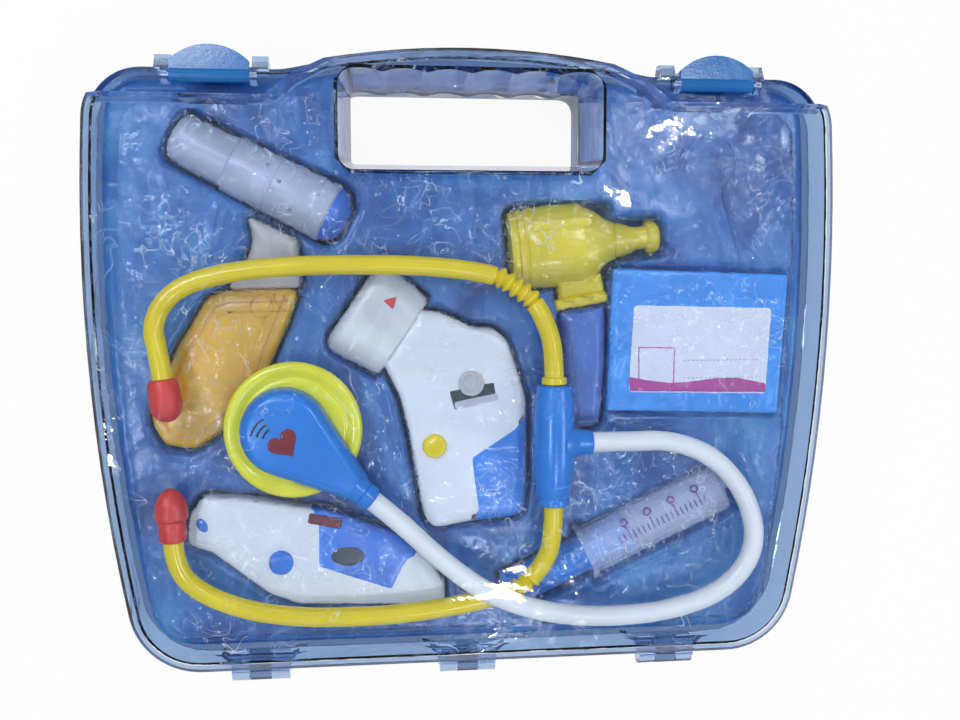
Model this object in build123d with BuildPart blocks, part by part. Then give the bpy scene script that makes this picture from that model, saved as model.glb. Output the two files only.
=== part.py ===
from build123d import *
from math import atan2, cos, degrees, pi, radians, sin, tan
import os

os.makedirs("parts", exist_ok=True)

# ---------------------------------------------------------------- driving dimensions (mm)
# The case lies on its back: X to the right, Y toward the carry handle, Z toward the viewer.
CASE_HEIGHT = 250.0
HINGE_REACH = 12.0
CROWN_Y = (CASE_HEIGHT + HINGE_REACH) / 2
BASE_Y = CROWN_Y - CASE_HEIGHT
SHOULDER_Y = CROWN_Y - 8.4
TOP_HALF = 148.2
BOTTOM_HALF = 133.0
SIDE_BULGE = 9.3
CROWN_HALF = 74.0
TOP_CORNER = 22.0
BOTTOM_CORNER = 30.0
CROWN_BLEND = 30.0
REAR_DEPTH = 34.0
COVER_DEPTH = 27.0
PARTING_GAP = 0.2
FRONT_Z = REAR_DEPTH + COVER_DEPTH
REAR_TOP = REAR_DEPTH - PARTING_GAP / 2
COVER_BASE = REAR_DEPTH + PARTING_GAP / 2
WALL = 1.8
DRAFT = 3.0
RIM_CHAMFER = 4.0
INNER_CHAMFER = 3.0

# grip opening: bounds at the parting plane, narrowest there
GRIP_HALF = 47.6
GRIP_HIGH = CROWN_Y - 16.4
GRIP_LOW = GRIP_HIGH - 28.0
GRIP_DRAFT = 9.5
GRIP_CORNER = 4.0
CORNER_CUT = 0.586
SCALLOP_PITCH = 17.5
SCALLOP_RISE = 1.5
SCALLOP_BLEND = 2.5

# lowered shelves of the cover that carry the latches
SHELF_Z = 47.0
SHELF_Y = CROWN_Y - 21.0
SHELF_X = 80.0
SIDE_MARGIN = 20.0

# hinges
HINGE_X = 88.0
HINGE_PLACES = (-HINGE_X, 0, HINGE_X)
KNUCKLE_RADIUS = 4.4
HINGE_Y = BASE_Y - HINGE_REACH + KNUCKLE_RADIUS
PIN_RADIUS = 1.3
BORE_PLAY = 0.05
CENTRE_KNUCKLE = 9.0
KNUCKLE_GAP = 0.3
SIDE_KNUCKLE = 7.2
HINGE_PLAY = 0.5
HINGE_FLARE = 22.0
HINGE_PLATE = 4.6

# latches
LATCH_X = 101.5
LATCH_PIVOT_Y = SHOULDER_Y - 4.1
LATCH_PIVOT_Z = SHELF_Z + 3.2
LATCH_BARREL = 2.7
LATCH_LENGTH = 30.4
LATCH_GAP = 0.4
EAR_THICK = 2.6
BOSS_WIDTH = 6.4
LATCH_PIN = 1.0
LEG_Y = SHOULDER_Y + 1.4
TAB_Y = LEG_Y + 6.2
LEG_THICK = 2.0
LEG_WIDTH = 22.0
BEAD_Z = REAR_DEPTH - 8.0
LEG_FOOT = BEAD_Z - 5.5
BEAD_REACH = 1.1
NIB_PLAY = 0.15

# tray and blister
TRAY_TOP = 32.6
TRAY_SHEET = 1.2
TRAY_GAP = 0.6
TRAY_DRAFT = 8.5
POCKET_PLAY = 1.0
BLISTER_TOP = 41.2
BLISTER_SHEET = 0.6
BLISTER_DRAFT = 6.0

# stethoscope
TUBE_RADIUS = 4.0
HOSE_RADIUS = 4.2
RIB_RADIUS = 4.3
TUBE_Z = BLISTER_TOP + RIB_RADIUS
HOSE_Z = BLISTER_TOP + HOSE_RADIUS
JOINT_RADIUS = 8.6
JOINT_Z = BLISTER_TOP + JOINT_RADIUS
TUBE_SIDES = 8
ROUND_SIDES = 12
TURNED_SIDES = 16


# ---------------------------------------------------------------- helpers
def drafted(outline, low, high, draft, narrow_end):
    """A moulded block over an outline, drawn in by its draft toward its top or its base."""
    with BuildPart(mode=Mode.PRIVATE) as block:
        extrude(outline, amount=high - low, taper=draft)
    if narrow_end == "top":
        return block.part.moved(Location((0, 0, low)))
    return block.part.mirror(Plane.XY).moved(Location((0, 0, high)))


def case_outline(grow=0.0):
    """The case's outline at the parting plane: bowed sides and a crowned top over the grip."""
    with BuildSketch() as sketch:
        with BuildLine():
            Line((-BOTTOM_HALF, BASE_Y), (BOTTOM_HALF, BASE_Y))
            SagittaArc((BOTTOM_HALF, BASE_Y), (TOP_HALF, SHOULDER_Y), -SIDE_BULGE)
            Line((TOP_HALF, SHOULDER_Y), (CROWN_HALF, SHOULDER_Y))
            ThreePointArc((CROWN_HALF, SHOULDER_Y), (0, CROWN_Y), (-CROWN_HALF, SHOULDER_Y))
            Line((-CROWN_HALF, SHOULDER_Y), (-TOP_HALF, SHOULDER_Y))
            SagittaArc((-TOP_HALF, SHOULDER_Y), (-BOTTOM_HALF, BASE_Y), -SIDE_BULGE)
        make_face()
        fillet(sketch.vertices().filter_by(lambda v: v.Y < 0), BOTTOM_CORNER)
        fillet(sketch.vertices().filter_by(lambda v: abs(v.X) > TOP_HALF - 1 and v.Y > 0), TOP_CORNER)
        fillet(sketch.vertices().filter_by(lambda v: abs(abs(v.X) - CROWN_HALF) < 0.5), CROWN_BLEND)
        if grow:
            offset(amount=grow)
    return sketch.sketch


def grip_wall(height, grow):
    """The plain outer outline of the wall round the grip opening."""
    flare = grow + abs(height - REAR_DEPTH) * tan(radians(GRIP_DRAFT))
    high = GRIP_HIGH + SCALLOP_RISE + flare
    low = GRIP_LOW - flare
    with BuildSketch() as sketch:
        with Locations((0, (high + low) / 2)):
            Rectangle(2 * (GRIP_HALF + flare), high - low)
        chamfer(sketch.vertices(), CORNER_CUT * (GRIP_CORNER + flare))
    return sketch.sketch


def grip_outline(height, grow=0.0):
    """The grip opening with its finger scallops, as wide as it is at a height."""
    flare = grow + abs(height - REAR_DEPTH) * tan(radians(GRIP_DRAFT))
    half = GRIP_HALF + flare
    low = GRIP_LOW - flare
    high = GRIP_HIGH + flare
    stops = [half, 2 * SCALLOP_PITCH, SCALLOP_PITCH, 0, -SCALLOP_PITCH, -2 * SCALLOP_PITCH, -half]
    with BuildSketch() as sketch:
        with BuildLine():
            Line((-half, high), (-half, low))
            Line((-half, low), (half, low))
            Line((half, low), (half, high))
            for start, end in zip(stops, stops[1:]):
                ThreePointArc((start, high), ((start + end) / 2, high + SCALLOP_RISE), (end, high))
        make_face()
        fillet(sketch.vertices().filter_by(lambda v: abs(abs(v.X) - half) < 1e-3), GRIP_CORNER + flare / 2)
        fillet(sketch.vertices().filter_by(lambda v: abs(v.X) < 2 * SCALLOP_PITCH + 1), SCALLOP_BLEND)
    return sketch.sketch


def shelf_outline(height, grow=0.0):
    """The two upper corners where the cover is lowered for the latches."""
    with BuildSketch(Plane.XY.offset(height)) as sketch:
        with BuildLine():
            Polyline(
                (TOP_HALF + SIDE_MARGIN, SHELF_Y - grow),
                (SHELF_X - grow, SHELF_Y - grow),
                (SHELF_X - 10 - grow, SHELF_Y + 8 - grow),
                (SHELF_X - 26 - grow, SHELF_Y + 16.5 - grow),
                (SHELF_X - 26 - grow, CROWN_Y + SIDE_MARGIN),
                (TOP_HALF + SIDE_MARGIN, CROWN_Y + SIDE_MARGIN),
                close=True,
            )
        make_face()
        fillet(sketch.vertices().filter_by(lambda v: v.X < SHELF_X and v.Y < SHELF_Y + 10), 6)
        mirror(about=Plane.YZ)
    return sketch.sketch


def flat_outline(points, height, corner=0.0, grow=0.0):
    """A closed outline through the points, grown outward and with eased corners if asked."""
    with BuildSketch(Plane.XY.offset(height)) as sketch:
        with BuildLine():
            Polyline(*points, close=True)
        make_face()
        if grow:
            offset(amount=grow, kind=Kind.INTERSECTION)
        if corner:
            chamfer(sketch.vertices(), corner)
    return sketch.sketch


def cross_bar(middle, radius, length, across_flats=False):
    """A round bar along X; across_flats makes it a bore that clears a bar of that radius."""
    x, y, z = middle
    with BuildPart(mode=Mode.PRIVATE) as bar:
        with BuildSketch(Plane.YZ.offset(x - length / 2)):
            with Locations((y, z)):
                RegularPolygon(radius=radius, side_count=ROUND_SIDES, major_radius=not across_flats)
        extrude(amount=length)
    return bar.part


def upright(centre, radius, low, high, sides, edge=0.0):
    """A round boss along Z, with its top edge eased if asked."""
    with BuildPart(mode=Mode.PRIVATE) as boss:
        with BuildSketch(Plane.XY.offset(low)):
            with Locations(centre):
                RegularPolygon(radius=radius, side_count=sides)
        extrude(amount=high - low)
        if edge:
            chamfer(boss.edges().group_by(Axis.Z)[-1], edge)
    return boss.part


def bend_radii(points):
    """The largest bends that a tube's runs allow, one for each corner."""
    radii = []
    vectors = [Vector(*point) for point in points]
    for before, corner, after in zip(vectors, vectors[1:], vectors[2:]):
        run_in = corner - before
        run_out = after - corner
        half_turn = radians(run_in.get_angle(run_out)) / 2
        radii.append(0.45 * min(run_in.length, run_out.length) / tan(half_turn))
    return radii


def tube_section(path, radius):
    """A faceted round section across the start of a path."""
    start = path @ 0
    with BuildSketch(Plane(origin=start, z_dir=path % 0)) as sketch:
        RegularPolygon(radius=radius, side_count=TUBE_SIDES)
    return sketch.sketch


def lying(start, angle, height):
    """A plane square to a direction in plan, for pieces that lie along it."""
    x, y = start
    return Plane(
        origin=(x, y, height),
        x_dir=(-sin(radians(angle)), cos(radians(angle)), 0),
        z_dir=(cos(radians(angle)), sin(radians(angle)), 0),
    )


def stacked(stations, section, plane):
    """Drafted bands from station to station, (distance, size) each, laid along a plane's normal."""
    with BuildPart(mode=Mode.PRIVATE) as body:
        for (low, start), (high, end) in zip(stations, stations[1:]):
            draft = degrees(atan2(abs(end - start), high - low))
            if draft < 0.01:
                add(extrude_private(section(start), high - low).moved(Location((0, 0, low))))
            else:
                add(drafted(section(max(start, end)), low, high, draft, "top" if start > end else "base"))
    return body.part.moved(Location(plane))


def turned(start, angle, height, profile, sides=TURNED_SIDES):
    """A turned piece: (distance along the axis, radius) pairs, from its first end to its last."""
    flat = cos(pi / sides)

    def section(size):
        with BuildSketch() as sketch:
            RegularPolygon(radius=size / flat, side_count=sides)
        return sketch.sketch

    stations = [(distance, radius * flat) for distance, radius in profile]
    return stacked(stations, section, lying(start, angle, height))


def heading(start, end):
    """The direction in plan from one point to another, in degrees."""
    return degrees(atan2(end[1] - start[1], end[0] - start[0]))


def reach(start, angle, length):
    """The point in plan at a distance along a direction."""
    return (start[0] + length * cos(radians(angle)), start[1] + length * sin(radians(angle)))


def extrude_private(sketch, height):
    with BuildPart(mode=Mode.PRIVATE) as block:
        extrude(sketch, amount=height)
    return block.part


def along(start, angle, length, half_width, back=0.0):
    """The four corners of a straight bar along a line in plan."""
    x, y = start
    dx = cos(radians(angle))
    dy = sin(radians(angle))
    return [
        (x - back * dx - half_width * dy, y - back * dy + half_width * dx),
        (x + length * dx - half_width * dy, y + length * dy + half_width * dx),
        (x + length * dx + half_width * dy, y + length * dy - half_width * dx),
        (x - back * dx + half_width * dy, y - back * dy - half_width * dx),
    ]


def stadium(width, height, steps):
    """Points of a flattened round: straight top and bottom between two half rounds."""
    radius = height / 2
    points = []
    for side in (1, -1):
        for step in range(steps + 1):
            turn = radians(180 * step / steps - 90)
            points.append((side * (width / 2 - radius + radius * cos(turn)), side * radius * sin(turn)))
    return points


def slot_bar(centre, height):
    """The thermometer's short red bar, tilted with the upper edge."""
    with BuildSketch(Plane.XY.offset(height)) as sketch:
        with Locations(Location((*centre, 0), (0, 0, -12))):
            Rectangle(14, 4.4)
    return sketch.sketch


def window_oval(centre, height):
    """The thermometer's oval window."""
    with BuildSketch(Plane.XY.offset(height)) as sketch:
        with Locations(centre):
            with BuildLine():
                Polyline(*[(centre[0] + px, centre[1] + py) for px, py in stadium(14, 8, 4)], close=True)
            make_face()
    return sketch.sketch


# ---------------------------------------------------------------- case shells
def hinge_plate(x, height, notch=0.0):
    """The flared plate that joins a hinge's knuckles to the wall."""
    with BuildSketch(Plane.XY.offset(height)) as sketch:
        with BuildLine():
            Polyline(
                (x - HINGE_FLARE, BASE_Y + 0.9),
                (x + HINGE_FLARE, BASE_Y + 0.9),
                (x + HINGE_FLARE - 6, BASE_Y - 0.6),
                (x + HINGE_FLARE - 8.8, BASE_Y - 3),
                (x - HINGE_FLARE + 8.8, BASE_Y - 3),
                (x - HINGE_FLARE + 6, BASE_Y - 0.6),
                close=True,
            )
        make_face()
        if notch:
            with Locations((x, BASE_Y - 3)):
                Rectangle(notch, 2 * 2.4, mode=Mode.SUBTRACT)
    return sketch.sketch


with BuildPart() as rear_cavity:
    add(drafted(case_outline(-WALL), WALL, REAR_TOP, DRAFT, "base"))
    chamfer(rear_cavity.edges().group_by(Axis.Z)[0], INNER_CHAMFER)

WEB_LENGTH = BASE_Y + 0.7 - HINGE_Y
with BuildPart() as rear_shell:
    add(drafted(case_outline(), 0, REAR_TOP, DRAFT, "base"))
    chamfer(rear_shell.edges().group_by(Axis.Z)[0], RIM_CHAMFER)
    for x in HINGE_PLACES:
        extrude(hinge_plate(x, REAR_DEPTH - HINGE_PLAY), amount=-HINGE_PLATE)
        middle = (x, HINGE_Y, REAR_DEPTH)
        add(cross_bar(middle, KNUCKLE_RADIUS + HINGE_PLAY, 1.5 * HINGE_FLARE, True), mode=Mode.SUBTRACT)
        add(cross_bar(middle, KNUCKLE_RADIUS, CENTRE_KNUCKLE))
        with Locations((x, HINGE_Y + WEB_LENGTH / 2, REAR_DEPTH - HINGE_PLAY - HINGE_PLATE / 2)):
            Box(CENTRE_KNUCKLE, WEB_LENGTH, HINGE_PLATE)
        add(cross_bar(middle, PIN_RADIUS + BORE_PLAY, 1.5 * HINGE_FLARE, True), mode=Mode.SUBTRACT)
    for x in (-LATCH_X, LATCH_X):
        add(cross_bar((x, SHOULDER_Y - 0.4, BEAD_Z), BEAD_REACH, LEG_WIDTH))
    add(rear_cavity.part, mode=Mode.SUBTRACT)
    add(drafted(grip_wall(0, WALL), 0, REAR_TOP, GRIP_DRAFT, "top"))
    add(drafted(grip_outline(0), 0, REAR_TOP, GRIP_DRAFT, "top"), mode=Mode.SUBTRACT)
rear_shell.part.label = "rear_shell"
export_step(rear_shell.part, "parts/rear_shell.step")

# the cover: a clear half with two lowered shelves, latch ears and hinge knuckles
with BuildPart() as cover_cavity:
    add(drafted(case_outline(-WALL), COVER_BASE, FRONT_Z - WALL, DRAFT, "top"))
    chamfer(cover_cavity.edges().group_by(Axis.Z)[-1], INNER_CHAMFER)
    extrude(shelf_outline(SHELF_Z - WALL, WALL), amount=COVER_DEPTH, mode=Mode.SUBTRACT)

with BuildPart() as front_cover:
    add(drafted(case_outline(), COVER_BASE, FRONT_Z, DRAFT, "top"))
    chamfer(front_cover.edges().group_by(Axis.Z)[-1], RIM_CHAMFER)
    extrude(shelf_outline(SHELF_Z), amount=COVER_DEPTH, mode=Mode.SUBTRACT)
    for x in (-LATCH_X, LATCH_X):
        for side in (-1, 1):
            start = x + side * (LATCH_LENGTH / 2 + LATCH_GAP)
            with BuildSketch(Plane.YZ.offset(start)) as boss:
                with BuildLine():
                    Polyline(
                        (SHOULDER_Y - 1.5, SHELF_Z),
                        (LATCH_PIVOT_Y + 9.0, SHELF_Z - 3.5),
                        (LATCH_PIVOT_Y + 9.0, SHELF_Z - 8.0),
                        (SHOULDER_Y - 1.5, SHELF_Z - 11.0),
                        close=True,
                    )
                make_face()
            extrude(amount=side * BOSS_WIDTH)
            with BuildSketch(Plane.YZ.offset(start)) as ear:
                with Locations((LATCH_PIVOT_Y, LATCH_PIVOT_Z)):
                    RegularPolygon(radius=3.5, side_count=ROUND_SIDES)
                with Locations((LATCH_PIVOT_Y, (LATCH_PIVOT_Z + SHELF_Z - 1) / 2)):
                    Rectangle(6.4, LATCH_PIVOT_Z - SHELF_Z + 1)
            extrude(amount=side * EAR_THICK)
        middle = (x, LATCH_PIVOT_Y, LATCH_PIVOT_Z)
        add(cross_bar(middle, LATCH_PIN + BORE_PLAY, 2 * LATCH_LENGTH, True), mode=Mode.SUBTRACT)
    for x in HINGE_PLACES:
        extrude(hinge_plate(x, REAR_DEPTH + HINGE_PLAY, CENTRE_KNUCKLE + 2 * KNUCKLE_GAP + 0.6), amount=HINGE_PLATE)
        for side in (-1, 1):
            middle = x + side * (CENTRE_KNUCKLE / 2 + KNUCKLE_GAP + SIDE_KNUCKLE / 2)
            add(cross_bar((middle, HINGE_Y, REAR_DEPTH), KNUCKLE_RADIUS, SIDE_KNUCKLE))
            with Locations((middle, HINGE_Y + WEB_LENGTH / 2, REAR_DEPTH + HINGE_PLAY + HINGE_PLATE / 2)):
                Box(SIDE_KNUCKLE, WEB_LENGTH, HINGE_PLATE)
        bore = cross_bar((x, HINGE_Y, REAR_DEPTH), PIN_RADIUS + BORE_PLAY, 1.5 * HINGE_FLARE, True)
        add(bore, mode=Mode.SUBTRACT)
    add(cover_cavity.part, mode=Mode.SUBTRACT)
    add(drafted(grip_wall(FRONT_Z, WALL), COVER_BASE, FRONT_Z, GRIP_DRAFT, "base"))
    add(drafted(grip_outline(FRONT_Z), COVER_BASE, FRONT_Z, GRIP_DRAFT, "base"), mode=Mode.SUBTRACT)
front_cover.part.label = "front_cover"
export_step(front_cover.part, "parts/front_cover.step")

# three hinge pins, alike
with BuildPart() as hinge_pins:
    for x in HINGE_PLACES:
        add(cross_bar((x, HINGE_Y, REAR_DEPTH), PIN_RADIUS, CENTRE_KNUCKLE + 2 * (KNUCKLE_GAP + SIDE_KNUCKLE) + 1))
hinge_pins.part.label = "hinge_pins"
export_step(hinge_pins.part, "parts/hinge_pins.step")


# ---------------------------------------------------------------- latches
def latch(x):
    """One blue latch: barrel, oval thumb tab over the edge and a leg with a nib."""
    with BuildPart() as body:
        middle = (x, LATCH_PIVOT_Y, LATCH_PIVOT_Z)
        add(cross_bar(middle, LATCH_BARREL, LATCH_LENGTH))
        with BuildSketch(Plane.XY.offset(LATCH_PIVOT_Z - 1.2)):
            with BuildLine():
                Line((x - LATCH_LENGTH / 2, LATCH_PIVOT_Y), (x + LATCH_LENGTH / 2, LATCH_PIVOT_Y))
                Line((x + LATCH_LENGTH / 2, LATCH_PIVOT_Y), (x + LATCH_LENGTH / 2, LEG_Y))
                ThreePointArc((x + LATCH_LENGTH / 2, LEG_Y), (x, TAB_Y), (x - LATCH_LENGTH / 2, LEG_Y))
                Line((x - LATCH_LENGTH / 2, LEG_Y), (x - LATCH_LENGTH / 2, LATCH_PIVOT_Y))
            make_face()
        extrude(amount=2.6)
        with BuildSketch(Plane.XZ.offset(-LEG_Y)):
            with BuildLine():
                Polyline(
                    (x - LEG_WIDTH / 2 - 1.5, LATCH_PIVOT_Z),
                    (x + LEG_WIDTH / 2 + 1.5, LATCH_PIVOT_Z),
                    (x + LEG_WIDTH / 2, LEG_FOOT + 5),
                    (x + LEG_WIDTH / 2 - 3, LEG_FOOT),
                    (x - LEG_WIDTH / 2 + 3, LEG_FOOT),
                    (x - LEG_WIDTH / 2, LEG_FOOT + 5),
                    close=True,
                )
            make_face()
        extrude(amount=-LEG_THICK)
        nib_tip = SHOULDER_Y - 0.4 + BEAD_REACH + NIB_PLAY
        with BuildSketch(Plane.YZ.offset(x - LEG_WIDTH / 2 + 3)):
            with BuildLine():
                Polyline(
                    (LEG_Y, BEAD_Z - 0.8),
                    (nib_tip, BEAD_Z - 2.0),
                    (nib_tip, BEAD_Z - 2.8),
                    (LEG_Y, LEG_FOOT),
                    (LEG_Y + 1, LEG_FOOT),
                    (LEG_Y + 1, BEAD_Z - 0.8),
                    close=True,
                )
            make_face()
        extrude(amount=LEG_WIDTH - 6)
        add(cross_bar(middle, LATCH_PIN + BORE_PLAY, 2 * LATCH_LENGTH, True), mode=Mode.SUBTRACT)
    return body.part


latch_left = latch(-LATCH_X)
latch_left.label = "latch_left"
export_step(latch_left, "parts/latch_left.step")
latch_right = latch(LATCH_X)
latch_right.label = "latch_right"
export_step(latch_right, "parts/latch_right.step")

# two latch pins, alike
with BuildPart() as latch_pins:
    for x in (-LATCH_X, LATCH_X):
        add(cross_bar((x, LATCH_PIVOT_Y, LATCH_PIVOT_Z), LATCH_PIN, LATCH_LENGTH + 2 * (LATCH_GAP + EAR_THICK)))
latch_pins.part.label = "latch_pins"
export_step(latch_pins.part, "parts/latch_pins.step")


# ---------------------------------------------------------------- the instruments' outlines
GUN_BOTTOM = 14.4
GUN_SPLIT = 27.0
GUN_TOP = 38.0
GUN_BODY = [
    (-11.3, 25.4), (3.2, 18.6), (12.0, 18.2), (17.5, 13.0), (25.3, -10.9), (25.5, -45.1), (24.5, -61.9),
    (2.4, -64.1), (-14.9, -66.8), (-18.4, -61.0), (-24.6, -25.5), (-28.1, -10.2), (-35.1, 3.8), (-20.0, 26.2),
]
GUN_HEAD_BACK = (-27.3, 15.4)
GUN_HEAD_ANGLE = 146.0
GUN_HEAD_LENGTH = 25.0
GUN_HEAD_WIDTH = 41.0
GUN_HEAD_HEIGHT = 25.4
GUN_GRIP = [(30.0, -14.0), (0.2, -33.0), (-1.9, -36.4), (2.6, -70.0), (30.0, -70.0)]
GUN_WINDOW = [(-7.6, -7.8), (11.4, -4.2), (12.3, -11.4), (-5.5, -15.4)]
GUN_BUTTON = (-14.0, -30.9)
GUN_DIAL = (1.7, -4.6)
BUTTON_RADIUS = 5.0
BUTTON_GAP = 0.3
BUTTON_STROKE = 1.2
BUTTON_PROUD = 1.8
BUTTON_DEPTH = 6.0
BUTTON_SIDES = 20
ROD_SIDES = 20
DIAL_RADIUS = 5.3
DIAL_STEM = 1.6
DIAL_STEM_DEPTH = 4.0
DIAL_PROUD = 1.7
WINDOW_DEPTH = 0.8
SLOT_DEPTH = 3.0
EYE_RADIUS = 2.3
GUN_HEAD_Z = GUN_BOTTOM + GUN_HEAD_HEIGHT / 2
GUN_LAMP = [(18.76, 9.2), (21.55, 0.65), (22.34, 0.9), (19.55, 9.46)]

THERMO_BOTTOM = 18.0
THERMO_SPLIT = 28.0
THERMO_TOP = 38.0
THERMO_BODY = [
    (-109.8, -50.9), (-116.0, -58.0), (-117.0, -71.0), (-107.1, -74.5), (-83.6, -93.2), (-71.3, -97.9),
    (-9.8, -100.3), (-9.8, -90.6), (-15.3, -82.5), (-31.0, -69.0), (-58.1, -58.3), (-91.1, -52.3),
]
THERMO_PANEL = [(-65.9, -50.0), (-66.3, -83.7), (-31.2, -96.2), (-15.0, -66.0)]
THERMO_WINDOW = (-50.8, -77.4)
THERMO_BUTTON = (-78.6, -79.1)
THERMO_SLOT = (-60.2, -62.0)
THERMO_EYE = (-110.6, -62.4)

HAMMER_Z = 27.0
HAMMER_START = (-119.6, 98.6)
HAMMER_ANGLE = -26.9
HAMMER_LENGTH = 70.2
HAMMER_SMALL = 10.4
HAMMER_LARGE = 12.6
HAMMER_DOME = 8.5
HAMMER_NECK = [(-91.0, 66.0), (-70.0, 56.0), (-69.0, 46.8), (-69.0, 35.5), (-99.9, 35.0), (-92.0, 45.0), (-88.0, 56.0)]
HAMMER_HANDLE = [
    (-108.0, 31.5), (-99.9, 35.0), (-69.0, 35.5), (-75.8, 18.3), (-85.6, -4.6), (-101.2, -23.3),
    (-113.5, -31.5), (-126.2, -29.8), (-132.2, -18.5), (-120.5, 10.4),
]
HAMMER_LOW = 22.0
HAMMER_HIGH = 34.0

OTO_START = (19.0, 51.5)
OTO_ANGLE = 5.5
OTO_Z = 26.4
OTO_LENGTH = 46.5
OTO_WIDE = 17.6
OTO_TALL = 13.4
NOZZLE_REACH = 19.5
OTO_FOOT = [(38.6, 38.5), (39.8, 33.0), (39.2, 24.6), (61.6, 28.72), (60.4, 34.5), (58.8, 40.5)]
OTO_HANDLE = [(41.0, 24.93), (60.6, 28.53), (61.0, 2.0), (59.0, -22.0), (56.0, -25.0), (47.5, -25.0), (45.0, -22.0)]
OTO_LOW = 18.0
OTO_HIGH = 34.0

BADGE = [(62.8, 43.8), (140.4, 41.2), (137.0, -19.6), (60.4, -17.4)]
BADGE_LOW = 30.0
BADGE_HIGH = 36.6
CARD = [(71.9, 28.1), (132.8, 26.6), (131.1, -10.7), (69.8, -9.3)]
CARD_THICK = 0.3

SYRINGE_FLANGE = (52.8, -81.7)
SYRINGE_ANGLE = 24.9
SYRINGE_Z = 27.0
BARREL_RADIUS = 11.0
BARREL_BORE = 9.9
BARREL_LENGTH = 67.0
NOZZLE_LENGTH = 6.0
FLANGE_THICK = 2.2
FLANGE_HALF = 14.0
PISTON_RADIUS = 9.6
PISTON_AT = 22.0
ROD_RADIUS = 8.4
THUMB_RADIUS = 11.0
THUMB_THICK = 2.0
PLUNGER_OUT = 38.0

# underside of the tray, inside its skirt
HOLLOW_TOP = SHOULDER_Y - 5.1
HOLLOW_BASE = BASE_Y + 4.5
HOLLOW_SIDE = [
    (BOTTOM_HALF - 28, HOLLOW_BASE), (BOTTOM_HALF - 11, HOLLOW_BASE + 7.5), (BOTTOM_HALF - 2, HOLLOW_BASE + 22.5),
    (BOTTOM_HALF + 6, -50), (TOP_HALF - 3.7, 0), (TOP_HALF - 1.7, 50), (TOP_HALF - 2.7, HOLLOW_TOP - 22.5),
    (TOP_HALF - 7.2, HOLLOW_TOP - 7.5), (TOP_HALF - 20.2, HOLLOW_TOP),
]
TRAY_HOLLOW = HOLLOW_SIDE + [(-x, y) for x, y in reversed(HOLLOW_SIDE)]


# ---------------------------------------------------------------- blue tray
def pocket(outline, floor):
    """A tray pocket's outer wall and its hollow, round an instrument's outline."""
    wall = extrude_private(flat_outline(outline, floor - TRAY_SHEET, 0, POCKET_PLAY + TRAY_SHEET), TRAY_TOP - floor + TRAY_SHEET)
    hollow = extrude_private(flat_outline(outline, floor, 0, POCKET_PLAY), TRAY_TOP)
    return wall, hollow


POCKETS = [
    (GUN_BODY, GUN_BOTTOM),
    (along(GUN_HEAD_BACK, GUN_HEAD_ANGLE, GUN_HEAD_LENGTH, GUN_HEAD_WIDTH / 2), GUN_BOTTOM),
    (THERMO_BODY, THERMO_BOTTOM),
    (along(HAMMER_START, HAMMER_ANGLE, HAMMER_LENGTH + HAMMER_DOME, HAMMER_LARGE), HAMMER_Z - HAMMER_LARGE),
    (HAMMER_NECK, HAMMER_LOW),
    (HAMMER_HANDLE, HAMMER_LOW),
    (along(OTO_START, OTO_ANGLE, OTO_LENGTH, OTO_WIDE), OTO_Z - OTO_TALL),
    (along(OTO_START, OTO_ANGLE, OTO_LENGTH + NOZZLE_REACH, 9.0), OTO_LOW - 1),
    (OTO_FOOT, OTO_LOW),
    (OTO_HANDLE, OTO_LOW),
    (BADGE, BADGE_LOW),
    (along(SYRINGE_FLANGE, SYRINGE_ANGLE, BARREL_LENGTH + NOZZLE_LENGTH, BARREL_RADIUS), SYRINGE_Z - BARREL_RADIUS),
    (along(SYRINGE_FLANGE, SYRINGE_ANGLE, FLANGE_THICK, FLANGE_HALF, PLUNGER_OUT), SYRINGE_Z - THUMB_RADIUS),
]

with BuildPart() as insert_tray:
    add(drafted(case_outline(-WALL - TRAY_GAP), WALL, TRAY_TOP, TRAY_DRAFT, "base"))
    add(drafted(flat_outline(TRAY_HOLLOW, 0), 0, TRAY_TOP - TRAY_SHEET, TRAY_DRAFT, "base"), mode=Mode.SUBTRACT)
    for outline, floor in POCKETS:
        add(pocket(outline, floor)[0])
    for outline, floor in POCKETS:
        add(pocket(outline, floor)[1], mode=Mode.SUBTRACT)
    add(drafted(grip_wall(0, WALL + TRAY_GAP), 0, REAR_DEPTH, GRIP_DRAFT, "top"), mode=Mode.SUBTRACT)
insert_tray.part.label = "insert_tray"
export_step(insert_tray.part, "parts/insert_tray.step")


# ---------------------------------------------------------------- clear blister over the instruments
BLISTER_EDGE = SHOULDER_Y - 8.1
BLISTER_SIDE = [
    (BOTTOM_HALF - 12, BASE_Y + 8), (BOTTOM_HALF, BASE_Y + 20), (TOP_HALF - 7.7, -20), (TOP_HALF - 5.7, 50),
    (TOP_HALF - 7.7, BLISTER_EDGE - 10.5), (TOP_HALF - 20.2, BLISTER_EDGE), (GRIP_HALF + 16.4, BLISTER_EDGE),
    (GRIP_HALF + 7.4, BLISTER_EDGE - 6.5), (GRIP_HALF + 7.4, GRIP_LOW - 4.6),
]
BLISTER_OUTLINE = BLISTER_SIDE + [(-x, y) for x, y in reversed(BLISTER_SIDE)]
MIRROR = [
    (109.5, 45.2), (117.5, 45.2), (107.5, 76.5), (113.0, 82.0), (113.7, 92.0), (107.9, 98.5), (95.5, 98.5),
    (89.7, 92.0), (91.0, 81.0), (99.5, 75.8),
]
MIRROR_RISE = 3.0

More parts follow.
